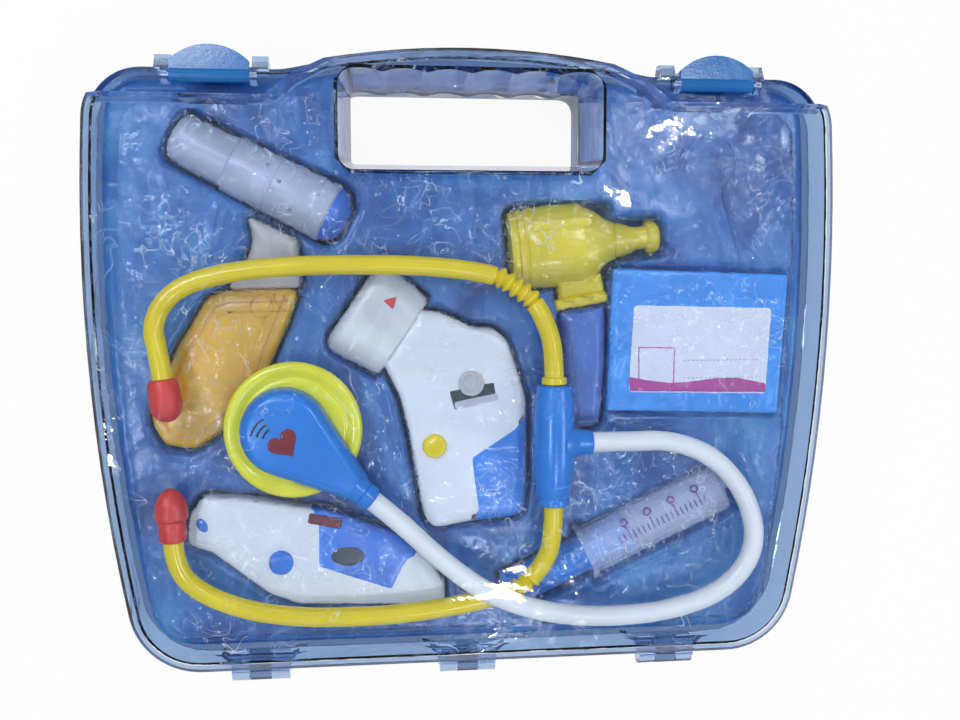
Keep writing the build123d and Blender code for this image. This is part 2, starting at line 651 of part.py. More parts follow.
with BuildPart() as blister:
    add(drafted(flat_outline(BLISTER_OUTLINE, 0), TRAY_TOP, BLISTER_TOP, BLISTER_DRAFT, "top"))
    add(drafted(flat_outline(MIRROR, 0), BLISTER_TOP - BLISTER_SHEET, BLISTER_TOP + MIRROR_RISE, BLISTER_DRAFT, "top"))
    add(
        drafted(flat_outline(BLISTER_OUTLINE, 0, 0, -BLISTER_SHEET), TRAY_TOP, BLISTER_TOP - BLISTER_SHEET, BLISTER_DRAFT, "top"),
        mode=Mode.SUBTRACT,
    )
    add(
        drafted(
            flat_outline(MIRROR, 0, 0, -BLISTER_SHEET),
            TRAY_TOP,
            BLISTER_TOP + MIRROR_RISE - BLISTER_SHEET,
            BLISTER_DRAFT,
            "top",
        ),
        mode=Mode.SUBTRACT,
    )
blister.part.label = "blister"
export_step(blister.part, "parts/blister.step")


# ---------------------------------------------------------------- stethoscope
def bellows(start, angle, ribs, pitch, radius, core):
    """The ribbed stretch of a headset tube."""
    profile = [(0, core)]
    for rib in range(ribs):
        at = rib * pitch
        profile += [(at + pitch * 0.35, radius), (at + pitch * 0.65, radius), (at + pitch, core)]
    return turned(start, angle, TUBE_Z, profile, TUBE_SIDES)


def tube(points, radius):
    """A faceted tube along straight runs joined by the largest arcs they allow."""
    radii = bend_radii(points)
    print("bends", [round(value, 1) for value in radii])
    with BuildPart(mode=Mode.PRIVATE) as body:
        with BuildLine() as path:
            FilletPolyline(*points, radius=radii)
        sweep(sections=tube_section(path.line, radius), path=path.line)
    return body.part


TIP_Z = BLISTER_TOP + 6.5
JOINT_X = 35.0
JOINT_TOP = -4.3
JOINT_END = -54.9
RIB_PITCH = 3.6
RIBS_UP = (12.4, 40.9)
RIBS_UP_ANGLE = -34.5
RIBS_UP_COUNT = 5
RIBS_LOW = (23.9, -90.3)
RIBS_LOW_ANGLE = 200.0
RIBS_LOW_COUNT = 3


UPPER_A = [
    (-123.1, -0.6, TIP_Z), (-124.2, 9.0, TIP_Z), (-127.2, 22.0, TUBE_Z + 1.0), (-119.5, 34.8, TUBE_Z), (-102.0, 41.6, TUBE_Z),
    (-75.0, 44.9, TUBE_Z), (-34.0, 45.5, TUBE_Z), (-8.0, 44.2, TUBE_Z), (*RIBS_UP, TUBE_Z),
]
UPPER_B = [
    (*reach(RIBS_UP, RIBS_UP_ANGLE, RIBS_UP_COUNT * RIB_PITCH), TUBE_Z), (33.5, 17.5, TUBE_Z + 2.2),
    (JOINT_X, 6.0, JOINT_Z), (JOINT_X, JOINT_TOP, JOINT_Z),
]
LOWER_A = [
    (JOINT_X, JOINT_END, JOINT_Z), (JOINT_X, -64.5, JOINT_Z), (33.4, -78.0, TUBE_Z + 2.0), (*RIBS_LOW, TUBE_Z),
]
LOWER_B = [
    (*reach(RIBS_LOW, RIBS_LOW_ANGLE, RIBS_LOW_COUNT * RIB_PITCH), TUBE_Z), (-8.0, -98.6, TUBE_Z), (-38.0, -101.4, TUBE_Z),
    (-73.0, -100.7, TUBE_Z), (-98.0, -95.2, TUBE_Z), (-114.6, -85.6, TUBE_Z + 0.8), (-120.4, -74.6, TIP_Z), (-120.7, -65.9, TIP_Z),
]
HOSE = [
    (51.2, -28.5, JOINT_Z), (66.0, -28.5, JOINT_Z), (87.0, -28.9, HOSE_Z + 0.4), (107.5, -37.5, HOSE_Z),
    (121.8, -56.0, HOSE_Z), (125.5, -78.0, HOSE_Z), (112.0, -95.5, HOSE_Z), (87.0, -103.8, HOSE_Z),
    (58.0, -104.8, HOSE_Z + 2.0), (31.0, -99.4, HOSE_Z + 9.0), (7.0, -90.9, HOSE_Z + 9.0), (-13.0, -76.0, HOSE_Z + 5.8),
    (-29.0, -60.0, HOSE_Z + 5.6), (-40.22, -50.71, HOSE_Z + 5.6),
]

with BuildPart() as headset_tube_upper:
    add(tube(UPPER_A, TUBE_RADIUS))
    add(bellows(RIBS_UP, RIBS_UP_ANGLE, RIBS_UP_COUNT, RIB_PITCH, RIB_RADIUS, TUBE_RADIUS - 1))
    add(tube(UPPER_B, TUBE_RADIUS))
    add(turned((JOINT_X, JOINT_TOP + 3.4), -90, JOINT_Z, [(0, 5.2), (3.4, 5.2)]))
headset_tube_upper.part.label = "headset_tube_upper"
export_step(headset_tube_upper.part, "parts/headset_tube_upper.step")

with BuildPart() as headset_tube_lower:
    add(tube(LOWER_A, TUBE_RADIUS))
    add(bellows(RIBS_LOW, RIBS_LOW_ANGLE, RIBS_LOW_COUNT, RIB_PITCH, RIB_RADIUS, TUBE_RADIUS - 1))
    add(tube(LOWER_B, TUBE_RADIUS))
headset_tube_lower.part.label = "headset_tube_lower"
export_step(headset_tube_lower.part, "parts/headset_tube_lower.step")

hose = tube(HOSE, HOSE_RADIUS)
hose.label = "hose"
export_step(hose, "parts/hose.step")

ear_tip_upper = turned(UPPER_A[0][:2], heading(UPPER_A[1], UPPER_A[0]), TIP_Z, [(0, 5.0), (3, 6.3), (10.5, 6.5), (14, 5.2), (17, 2.6)])
ear_tip_upper.label = "ear_tip_upper"
export_step(ear_tip_upper, "parts/ear_tip_upper.step")
ear_tip_lower = turned(LOWER_B[-1][:2], heading(LOWER_B[-2], LOWER_B[-1]), TIP_Z, [(0, 5.0), (8, 5.4), (9, 6.4), (14.5, 6.5), (19, 4.8), (21.5, 1.6)])
ear_tip_lower.label = "ear_tip_lower"
export_step(ear_tip_lower, "parts/ear_tip_lower.step")

with BuildPart() as y_connector:
    add(turned(
        (JOINT_X, JOINT_TOP), -90, JOINT_Z,
        [(0, 7.2), (6, 8.1), (15, JOINT_RADIUS), (31, JOINT_RADIUS), (45.5, 7.4), (JOINT_TOP - JOINT_END, 5.9)],
    ))
    add(turned((JOINT_X + 4, -28.5), 0, JOINT_Z, [(0, 6.4), (6, 5.2), (12.2, 4.7)]))
y_connector.part.label = "y_connector"
export_step(y_connector.part, "parts/y_connector.step")

# chestpiece: a flat disc, a translucent ring over it and the teardrop body with its heart
CHEST = (-72.2, -22.1)
CHEST_RADIUS = 28.1
DISC_TOP = BLISTER_TOP + 1.0
RING_TOP = BLISTER_TOP + 5.0
BODY_TOP = BLISTER_TOP + 15.0
BODY_AXIS = (-75.4, -22.1)
NECK = (-48.6, -43.9)
NECK_Z = HOSE_Z + 5.6
HEART = (-75.1, -25.7)
HEART_SIZE = 6.0
HEART_DEPTH = 1.2
CHEST_SIDES = 40

chest_disc = upright(CHEST, CHEST_RADIUS - 2.4, BLISTER_TOP, DISC_TOP, CHEST_SIDES)
chest_disc.label = "chest_disc"
export_step(chest_disc, "parts/chest_disc.step")

chest_ring = upright(CHEST, CHEST_RADIUS, DISC_TOP, RING_TOP, CHEST_SIDES, 1.6)
chest_ring.label = "chest_ring"
export_step(chest_ring, "parts/chest_ring.step")


def heart(height):
    with BuildSketch(Plane(origin=(*HEART, height), x_dir=(cos(radians(43)), sin(radians(43)), 0), z_dir=(0, 0, 1))) as sketch:
        with BuildLine():
            Polyline((-0.95 * HEART_SIZE, 0.25 * HEART_SIZE), (0, -1.2 * HEART_SIZE), (0.95 * HEART_SIZE, 0.25 * HEART_SIZE))
            ThreePointArc((0.95 * HEART_SIZE, 0.25 * HEART_SIZE), (0.6 * HEART_SIZE, 0.95 * HEART_SIZE), (0, 0.55 * HEART_SIZE))
            ThreePointArc((0, 0.55 * HEART_SIZE), (-0.6 * HEART_SIZE, 0.95 * HEART_SIZE), (-0.95 * HEART_SIZE, 0.25 * HEART_SIZE))
        make_face()
    return sketch.sketch


with BuildPart() as chest_body:
    with BuildSketch(Plane.XY.offset(RING_TOP)) as teardrop:
        with Locations(BODY_AXIS):
            RegularPolygon(radius=18, side_count=28)
        with Locations(NECK):
            RegularPolygon(radius=6.8, side_count=TURNED_SIDES)
        make_hull()
    extrude(amount=BODY_TOP - RING_TOP)
    chamfer(chest_body.edges().group_by(Axis.Z)[-1], 3)
    add(turned(HOSE[-1][:2], heading(HOSE[-1], HOSE[-2]), NECK_Z, [(-8, 4.7), (0, 4.7)]))
    extrude(heart(BODY_TOP), amount=-HEART_DEPTH, mode=Mode.SUBTRACT)
chest_body.part.label = "chest_body"
export_step(chest_body.part, "parts/chest_body.step")

with BuildPart() as heart_window:
    extrude(heart(BODY_TOP), amount=-HEART_DEPTH)
heart_window.part.label = "heart_window"
export_step(heart_window.part, "parts/heart_window.step")


# ---------------------------------------------------------------- toy scanner gun
with BuildPart() as gun_shell_rear:
    extrude(flat_outline(GUN_BODY, GUN_BOTTOM, 2.0), amount=GUN_SPLIT - GUN_BOTTOM)
gun_shell_rear.part.label = "gun_shell_rear"
export_step(gun_shell_rear.part, "parts/gun_shell_rear.step")

with BuildPart() as gun_block:
    extrude(flat_outline(GUN_BODY, GUN_SPLIT, 2.0), amount=GUN_TOP - GUN_SPLIT)
    chamfer(gun_block.edges().group_by(Axis.Z)[-1], 1.5)

with BuildPart() as gun_grip_panel:
    add(gun_block.part)
    extrude(flat_outline(GUN_GRIP, GUN_SPLIT), amount=GUN_TOP - GUN_SPLIT, mode=Mode.INTERSECT)
gun_grip_panel.part.label = "gun_grip_panel"
export_step(gun_grip_panel.part, "parts/gun_grip_panel.step")

BUTTON_WELL = BUTTON_DEPTH + BUTTON_STROKE
with BuildPart() as gun_shell_front:
    add(gun_block.part)
    extrude(flat_outline(GUN_GRIP, GUN_SPLIT), amount=GUN_TOP - GUN_SPLIT, mode=Mode.SUBTRACT)
    add(upright(GUN_BUTTON, BUTTON_RADIUS + BUTTON_GAP, GUN_TOP - BUTTON_WELL, GUN_TOP, BUTTON_SIDES), mode=Mode.SUBTRACT)
    add(upright(GUN_DIAL, DIAL_STEM + BUTTON_GAP, GUN_TOP - DIAL_STEM_DEPTH, GUN_TOP, ROUND_SIDES), mode=Mode.SUBTRACT)
    extrude(flat_outline(GUN_WINDOW, GUN_TOP - WINDOW_DEPTH), amount=WINDOW_DEPTH, mode=Mode.SUBTRACT)
gun_shell_front.part.label = "gun_shell_front"
export_step(gun_shell_front.part, "parts/gun_shell_front.step")

def flat_round(width, height):
    """Sections of a flattened round drum, grown evenly by a size."""
    def section(size):
        with BuildSketch() as sketch:
            with BuildLine():
                Polyline(*stadium(width + 2 * size, height + 2 * size, 5), close=True)
            make_face()
        return sketch.sketch
    return section


gun_head = stacked(
    [(0, -1.0), (GUN_HEAD_LENGTH - 2, 0), (GUN_HEAD_LENGTH, -2.0)],
    flat_round(GUN_HEAD_WIDTH + 2, GUN_HEAD_HEIGHT),
    lying(GUN_HEAD_BACK, GUN_HEAD_ANGLE, GUN_HEAD_Z),
)
gun_head.label = "gun_head"
export_step(gun_head, "parts/gun_head.step")

gun_button = upright(GUN_BUTTON, BUTTON_RADIUS, GUN_TOP - BUTTON_DEPTH, GUN_TOP + BUTTON_PROUD, BUTTON_SIDES, 0.8)
gun_button.label = "gun_button"
export_step(gun_button, "parts/gun_button.step")

with BuildPart() as gun_window:
    extrude(flat_outline(GUN_WINDOW, GUN_TOP - WINDOW_DEPTH), amount=WINDOW_DEPTH)
    add(upright(GUN_DIAL, DIAL_STEM + BUTTON_GAP, GUN_TOP - DIAL_STEM_DEPTH, GUN_TOP, ROUND_SIDES), mode=Mode.SUBTRACT)
gun_window.part.label = "gun_window"
export_step(gun_window.part, "parts/gun_window.step")

with BuildPart() as gun_dial:
    add(upright(GUN_DIAL, DIAL_RADIUS, GUN_TOP + 0.1, GUN_TOP + DIAL_PROUD, BUTTON_SIDES, 0.5))
    add(upright(GUN_DIAL, DIAL_STEM, GUN_TOP - DIAL_STEM_DEPTH + 0.3, GUN_TOP + 0.5, ROUND_SIDES))
gun_dial.part.label = "gun_dial"
export_step(gun_dial.part, "parts/gun_dial.step")

with BuildPart() as gun_lamp:
    extrude(flat_outline(GUN_LAMP, GUN_BOTTOM + 7), amount=11)
gun_lamp.part.label = "gun_lamp"
export_step(gun_lamp.part, "parts/gun_lamp.step")


# ---------------------------------------------------------------- ear thermometer
with BuildPart() as thermometer_shell_rear:
    extrude(flat_outline(THERMO_BODY, THERMO_BOTTOM, 1.5), amount=THERMO_SPLIT - THERMO_BOTTOM)
thermometer_shell_rear.part.label = "thermometer_shell_rear"
export_step(thermometer_shell_rear.part, "parts/thermometer_shell_rear.step")

with BuildPart() as thermo_block:
    extrude(flat_outline(THERMO_BODY, THERMO_SPLIT, 1.5), amount=THERMO_TOP - THERMO_SPLIT)
    chamfer(thermo_block.edges().group_by(Axis.Z)[-1], 1.4)
    extrude(slot_bar(THERMO_SLOT, THERMO_TOP - SLOT_DEPTH), amount=SLOT_DEPTH, mode=Mode.SUBTRACT)

with BuildPart() as thermometer_panel:
    add(thermo_block.part)
    extrude(flat_outline(THERMO_PANEL, THERMO_SPLIT), amount=THERMO_TOP - THERMO_SPLIT, mode=Mode.INTERSECT)
    extrude(window_oval(THERMO_WINDOW, THERMO_TOP - WINDOW_DEPTH), amount=WINDOW_DEPTH, mode=Mode.SUBTRACT)
thermometer_panel.part.label = "thermometer_panel"
export_step(thermometer_panel.part, "parts/thermometer_panel.step")

with BuildPart() as thermometer_shell_front:
    add(thermo_block.part)
    extrude(flat_outline(THERMO_PANEL, THERMO_SPLIT), amount=THERMO_TOP - THERMO_SPLIT, mode=Mode.SUBTRACT)
    add(
        upright(THERMO_BUTTON, BUTTON_RADIUS + BUTTON_GAP, THERMO_TOP - BUTTON_WELL, THERMO_TOP, BUTTON_SIDES),
        mode=Mode.SUBTRACT,
    )
    add(upright(THERMO_EYE, EYE_RADIUS, THERMO_TOP - WINDOW_DEPTH, THERMO_TOP, ROUND_SIDES), mode=Mode.SUBTRACT)
thermometer_shell_front.part.label = "thermometer_shell_front"
export_step(thermometer_shell_front.part, "parts/thermometer_shell_front.step")

thermometer_button = upright(
    THERMO_BUTTON, BUTTON_RADIUS, THERMO_TOP - BUTTON_DEPTH, THERMO_TOP + BUTTON_PROUD, BUTTON_SIDES, 0.8
)
thermometer_button.label = "thermometer_button"
export_step(thermometer_button, "parts/thermometer_button.step")

with BuildPart() as thermometer_window:
    extrude(window_oval(THERMO_WINDOW, THERMO_TOP - WINDOW_DEPTH), amount=WINDOW_DEPTH)
thermometer_window.part.label = "thermometer_window"
export_step(thermometer_window.part, "parts/thermometer_window.step")

with BuildPart() as thermometer_slot:
    extrude(slot_bar(THERMO_SLOT, THERMO_TOP - SLOT_DEPTH), amount=SLOT_DEPTH + 0.6)
thermometer_slot.part.label = "thermometer_slot"
export_step(thermometer_slot.part, "parts/thermometer_slot.step")

thermometer_eye = upright(THERMO_EYE, EYE_RADIUS, THERMO_TOP - WINDOW_DEPTH, THERMO_TOP + 0.5, ROUND_SIDES)
thermometer_eye.label = "thermometer_eye"
export_step(thermometer_eye, "parts/thermometer_eye.step")


# ---------------------------------------------------------------- reflex hammer
hammer_profile = [
    (0, 6.5), (2.5, 9.6), (7, HAMMER_SMALL), (25, HAMMER_SMALL + 0.4), (27, HAMMER_LARGE - 0.6),
    (HAMMER_LENGTH - 7, HAMMER_LARGE - 0.2), (HAMMER_LENGTH - 6, HAMMER_LARGE), (HAMMER_LENGTH, HAMMER_LARGE),
]
hammer_head = turned(HAMMER_START, HAMMER_ANGLE, HAMMER_Z, hammer_profile, ROD_SIDES)
hammer_head.label = "hammer_head"
export_step(hammer_head, "parts/hammer_head.step")

hammer_cap = turned(
    reach(HAMMER_START, HAMMER_ANGLE, HAMMER_LENGTH), HAMMER_ANGLE, HAMMER_Z,
    [(0, HAMMER_LARGE - 0.8), (3.5, 10.8), (6.5, 7.6), (HAMMER_DOME, 3.0)], ROD_SIDES,
)
hammer_cap.label = "hammer_cap"
export_step(hammer_cap, "parts/hammer_cap.step")

with BuildPart() as hammer_neck:
    extrude(flat_outline(HAMMER_NECK, HAMMER_LOW), amount=HAMMER_HIGH - HAMMER_LOW)
    chamfer(hammer_neck.edges().group_by(Axis.Z)[-1], 1.5)
    add(hammer_head, mode=Mode.SUBTRACT)
hammer_neck.part.label = "hammer_neck"
export_step(hammer_neck.part, "parts/hammer_neck.step")

with BuildPart() as hammer_handle:
    extrude(flat_outline(HAMMER_HANDLE, HAMMER_LOW, 2.5), amount=HAMMER_HIGH - HAMMER_LOW)
    chamfer(hammer_handle.edges().group_by(Axis.Z)[-1], 2.0)
    extrude(flat_outline(HAMMER_HANDLE, HAMMER_HIGH, 2.0, -5.0), amount=0.8)
    add(upright((-85.0, 28.0), 4.6, HAMMER_HIGH - 0.4, HAMMER_HIGH + 1.0, ROUND_SIDES), mode=Mode.SUBTRACT)
hammer_handle.part.label = "hammer_handle"
export_step(hammer_handle.part, "parts/hammer_handle.step")


# ---------------------------------------------------------------- otoscope
with BuildPart() as otoscope_head:
    bell = flat_round(2 * OTO_WIDE, 2 * OTO_TALL)
    axis = lying(OTO_START, OTO_ANGLE, OTO_Z)
    add(stacked([(0, -4.0), (3, -3.2)], bell, axis))
    add(stacked([(3, -2.0), (7, -1.4)], bell, axis))
    add(stacked([(7, -0.6), (10, 0), (37, -0.4), (41, -1.8), (OTO_LENGTH, -5.6)], bell, axis))
    extrude(flat_outline(OTO_FOOT, OTO_LOW), amount=OTO_HIGH + 1 - OTO_LOW)
otoscope_head.part.label = "otoscope_head"
export_step(otoscope_head.part, "parts/otoscope_head.step")

otoscope_nozzle = turned(
    reach(OTO_START, OTO_ANGLE, OTO_LENGTH), OTO_ANGLE, OTO_Z,
    [(0, 8.6), (8, 6.0), (12.5, 4.9), (13.5, 6.2), (NOZZLE_REACH - 1.5, 5.2), (NOZZLE_REACH, 3.6)],
)
otoscope_nozzle.label = "otoscope_nozzle"
export_step(otoscope_nozzle, "parts/otoscope_nozzle.step")

with BuildPart() as otoscope_handle:
    extrude(flat_outline(OTO_HANDLE, OTO_LOW), amount=OTO_HIGH - OTO_LOW)
    chamfer(otoscope_handle.edges().group_by(Axis.Z)[-1], 2.0)
otoscope_handle.part.label = "otoscope_handle"
export_step(otoscope_handle.part, "parts/otoscope_handle.step")


# ---------------------------------------------------------------- name badge
with BuildPart() as badge_frame:
    extrude(flat_outline(BADGE, BADGE_LOW, 2.0), amount=BADGE_HIGH - BADGE_LOW)
    chamfer(badge_frame.edges().group_by(Axis.Z)[-1], 1.0)
badge_frame.part.label = "badge_frame"
export_step(badge_frame.part, "parts/badge_frame.step")

with BuildPart() as badge_card:
    extrude(flat_outline(CARD, BADGE_HIGH), amount=CARD_THICK)
badge_card.part.label = "badge_card"
export_step(badge_card.part, "parts/badge_card.step")


# ---------------------------------------------------------------- syringe
with BuildPart() as syringe_barrel:
    add(turned(SYRINGE_FLANGE, SYRINGE_ANGLE, SYRINGE_Z, [(0, BARREL_RADIUS), (BARREL_LENGTH, BARREL_RADIUS)], ROD_SIDES))
    nozzle = [(BARREL_LENGTH, 4.0), (BARREL_LENGTH + NOZZLE_LENGTH, 2.6)]
    add(turned(SYRINGE_FLANGE, SYRINGE_ANGLE, SYRINGE_Z, nozzle, ROUND_SIDES))
    with BuildSketch(lying(SYRINGE_FLANGE, SYRINGE_ANGLE, SYRINGE_Z)):
        with BuildLine():
            Polyline(*stadium(2 * FLANGE_HALF, 2 * THUMB_RADIUS, 4), close=True)
        make_face()
    extrude(amount=FLANGE_THICK)
    add(
        turned(SYRINGE_FLANGE, SYRINGE_ANGLE, SYRINGE_Z, [(-1, BARREL_BORE), (BARREL_LENGTH - 1.2, BARREL_BORE)], ROD_SIDES),
        mode=Mode.SUBTRACT,
    )
syringe_barrel.part.label = "syringe_barrel"
export_step(syringe_barrel.part, "parts/syringe_barrel.step")

with BuildPart() as syringe_plunger:
    thumb = [(-PLUNGER_OUT, THUMB_RADIUS), (THUMB_THICK - PLUNGER_OUT, THUMB_RADIUS)]
    add(turned(SYRINGE_FLANGE, SYRINGE_ANGLE, SYRINGE_Z, thumb, ROD_SIDES))
    rod = [(THUMB_THICK - PLUNGER_OUT, ROD_RADIUS), (PISTON_AT - 5, ROD_RADIUS)]
    add(turned(SYRINGE_FLANGE, SYRINGE_ANGLE, SYRINGE_Z, rod, ROD_SIDES))
    piston = [(PISTON_AT - 5, PISTON_RADIUS), (PISTON_AT - 1, PISTON_RADIUS), (PISTON_AT, PISTON_RADIUS - 1)]
    add(turned(SYRINGE_FLANGE, SYRINGE_ANGLE, SYRINGE_Z, piston, ROD_SIDES))
syringe_plunger.part.label = "syringe_plunger"
export_step(syringe_plunger.part, "parts/syringe_plunger.step")
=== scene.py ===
import math

import bmesh
import bpy
import numpy as np
from mathutils import Matrix, Vector, noise
from mathutils.geometry import delaunay_2d_cdt


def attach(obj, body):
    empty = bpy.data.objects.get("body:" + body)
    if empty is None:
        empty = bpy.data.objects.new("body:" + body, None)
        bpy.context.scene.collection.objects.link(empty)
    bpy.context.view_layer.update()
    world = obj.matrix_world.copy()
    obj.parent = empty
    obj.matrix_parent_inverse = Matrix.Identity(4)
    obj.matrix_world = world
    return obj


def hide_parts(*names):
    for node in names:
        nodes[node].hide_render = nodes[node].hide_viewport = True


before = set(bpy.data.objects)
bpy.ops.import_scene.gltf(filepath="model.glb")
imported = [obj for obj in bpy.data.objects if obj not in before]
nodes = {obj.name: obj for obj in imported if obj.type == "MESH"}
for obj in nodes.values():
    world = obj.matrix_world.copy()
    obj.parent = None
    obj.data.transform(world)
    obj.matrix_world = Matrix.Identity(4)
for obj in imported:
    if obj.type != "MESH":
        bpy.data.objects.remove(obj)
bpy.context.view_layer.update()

MM = 0.001

# ---- camera
camera_data = bpy.data.cameras.new("camera")
camera_data.sensor_width = 36.0
camera_data.lens = 37.5
camera_data.clip_start = 0.01
camera_data.clip_end = 20.0
camera = bpy.data.objects.new("camera", camera_data)
bpy.context.scene.collection.objects.link(camera)
right = Vector((0.9940, -0.0005, 0.1092))
up = Vector((0.0103, 0.9960, -0.0887))
back = Vector((-0.1088, 0.0893, 0.9900))
back.normalize()
up = (up - back * up.dot(back)).normalized()
right = up.cross(back)
camera.matrix_world = Matrix((
    (right.x, up.x, back.x, -0.0405),
    (right.y, up.y, back.y, 0.0430),
    (right.z, up.z, back.z, 0.4559),
    (0, 0, 0, 1),
))
bpy.context.scene.camera = camera
bpy.context.scene.view_settings.view_transform = "Standard"


# ---- material helpers
def feed(tree, node, inputs):
    """Sets a node's sockets, each to a plain value or to the output that drives it."""
    for key, value in inputs.items():
        if isinstance(value, bpy.types.NodeSocket):
            tree.links.new(value, node.inputs[key])
        else:
            node.inputs[key].default_value = value
    return node


def add_node(tree, kind, inputs=(), **options):
    node = tree.nodes.new("ShaderNode" + kind)
    for option, value in options.items():
        setattr(node, option, value)
    return feed(tree, node, dict(inputs))


def new_material(name):
    mat = bpy.data.materials.new(name)
    mat.use_nodes = True
    tree = mat.node_tree
    for node in list(tree.nodes):
        tree.nodes.remove(node)
    out = add_node(tree, "OutputMaterial")
    shader = add_node(tree, "BsdfPrincipled")
    tree.links.new(shader.outputs[0], out.inputs[0])
    return mat, tree, shader, out


def coords(tree, scale=(1, 1, 1), turn=0.0):
    """Object coordinates in metres, stretched and turned about Z."""
    place = add_node(tree, "TexCoord").outputs["Object"]
    return add_node(tree, "Mapping", {"Vector": place, "Scale": scale, "Rotation": (0, 0, turn)}).outputs[0]


def noise_tex(tree, vector, scale, detail=3.0, rough=0.5, distortion=0.0):
    return add_node(tree, "TexNoise", {
        "Vector": vector, "Scale": scale, "Detail": detail, "Roughness": rough, "Distortion": distortion,
    }).outputs["Fac"]


def ramp(tree, value, stops):
    node = add_node(tree, "ValToRGB", {0: value})
    elements = node.color_ramp.elements
    while len(elements) < len(stops):
        elements.new(0.5)
    for element, (place, color) in zip(elements, stops):
        element.position = place
        element.color = (*color, 1)
    return node.outputs[0]


def remap(tree, value, low, high, start=0.3, end=0.7):
    return add_node(tree, "MapRange", {
        0: value, "From Min": start, "From Max": end, "To Min": low, "To Max": high,
    }).outputs[0]


def bump(tree, value, distance, below=None):
    """A bump of a given depth, over another one if below is given."""
    inputs = {"Height": value, "Distance": distance, "Strength": 1.0}
    if below is not None:
        inputs["Normal"] = below
    return add_node(tree, "Bump", inputs).outputs[0]


def combine(tree, kind, *values):
    return add_node(tree, "Math", dict(enumerate(values)), operation=kind).outputs[0]


def any_ray(tree, *kinds):
    """1 for rays of the given kinds, and 0 for the rest."""
    path = add_node(tree, "LightPath")
    value = path.outputs[kinds[0]]
    for kind in kinds[1:]:
        value = combine(tree, "MAXIMUM", value, path.outputs[kind])
    return value


def mix_into(tree, out, share, first, second):
    mix = add_node(tree, "MixShader", {0: share, 1: first, 2: second})
    tree.links.new(mix.outputs[0], out.inputs[0])


def shade(color, factor):
    return tuple(min(1.0, c * factor) for c in color)


GRAIN_DEPTH = 0.00003
SINK_DEPTH = 0.0002


def plastic(name, color, rough=0.25, vary=0.08, grain=900.0, subsurface=0.0, stretch=(1, 1, 1)):
    """Moulded plastic: faint flow marks in the colour, fine skin grain and slow sink waves."""
    mat, tree, shader, _ = new_material(name)
    place = coords(tree, stretch)
    slow = noise_tex(tree, place, 45.0, 3.0, 0.55, 0.4)
    fine = noise_tex(tree, place, grain, 2.0)
    feed(tree, shader, {
        "Base Color": ramp(tree, slow, [(0.3, shade(color, 1 - vary)), (0.7, shade(color, 1 + vary))]),
        "Roughness": remap(tree, slow, rough * 0.8, rough * 1.3),
        "Normal": bump(tree, fine, GRAIN_DEPTH, bump(tree, slow, SINK_DEPTH)),
    })
    if subsurface:
        feed(tree, shader, {
            "Subsurface Weight": subsurface, "Subsurface Radius": (0.004, 0.003, 0.002), "Subsurface Scale": 0.5,
        })
    return mat


def clear(name, tint, rough, wave_scale=22.0, wave_depth=0.0012, fine_scale=240.0, fine_depth=0.00006, ior=1.46,
          through=(0.96, 0.97, 1.0)):
    """Clear moulded plastic: refracts and glints, and lets the light through to what lies inside."""
    mat, tree, shader, out = new_material(name)
    place = coords(tree)
    slow = noise_tex(tree, place, wave_scale, 2.0, 0.5, 0.6)
    fine = noise_tex(tree, place, fine_scale, 2.0)
    feed(tree, shader, {
        "Transmission Weight": 1.0,
        "IOR": ior,
        "Base Color": ramp(tree, slow, [(0.3, shade(tint, 0.97)), (0.7, tint)]),
        "Roughness": remap(tree, fine, rough * 0.5, rough * 1.6),
        "Normal": bump(tree, fine, fine_depth, bump(tree, slow, wave_depth)),
    })
    see = add_node(tree, "BsdfTransparent", {0: (*through, 1)})
    mix_into(tree, out, any_ray(tree, "Is Shadow Ray", "Is Diffuse Ray"), shader.outputs[0], see.outputs[0])
    return mat


def find_node(mat, kind):
    return next(node for node in mat.node_tree.nodes if node.type == kind)


def paint_glint_lines(mat, scale, width, amount, patch):
    """Painted highlights: white glossy lines gathered in patches, mixed into a clear moulding's shader to stand for the
    glints on the folds of a crumpled film.
    """
    tree = mat.node_tree
    out = find_node(mat, "OUTPUT_MATERIAL")
    source = out.inputs[0].links[0].from_socket
    place = coords(tree)
    ridge = combine(tree, "ABSOLUTE", combine(tree, "SUBTRACT", noise_tex(tree, place, scale, 2.0, 0.6, 1.2), 0.5))
    line = remap(tree, ridge, amount, 0.0, 0.0, width)
    wide = remap(tree, noise_tex(tree, place, patch, 2.0), 0.0, 1.0, 0.5, 0.6)
    white = add_node(tree, "BsdfPrincipled", {"Base Color": (0.9, 0.93, 1.0, 1), "Roughness": 0.2})
    mix_into(tree, out, combine(tree, "MULTIPLY", line, wide), source, white.outputs[0])


def paint_wall_shade(mat, low, high, color):
    """Paints a darker slate-blue tint into a clear moulding below a height, where the eye looks along its walls:
    painted shade and painted reflection of the blue tray.
    """
    tree = mat.node_tree
    shader = find_node(mat, "BSDF_PRINCIPLED")
    source = shader.inputs["Base Color"].links[0].from_socket
    height = add_node(tree, "SeparateXYZ", {0: coords(tree)}).outputs[2]
    share = remap(tree, height, 0.0, 1.0, low, high)
    blend = add_node(tree, "MixRGB", {0: share, 1: (*color, 1), 2: source})
    feed(tree, shader, {"Base Color": blend.outputs[0]})


def dress(name, mat):
    data = nodes[name].data
    data.materials.clear()
    data.materials.append(mat)


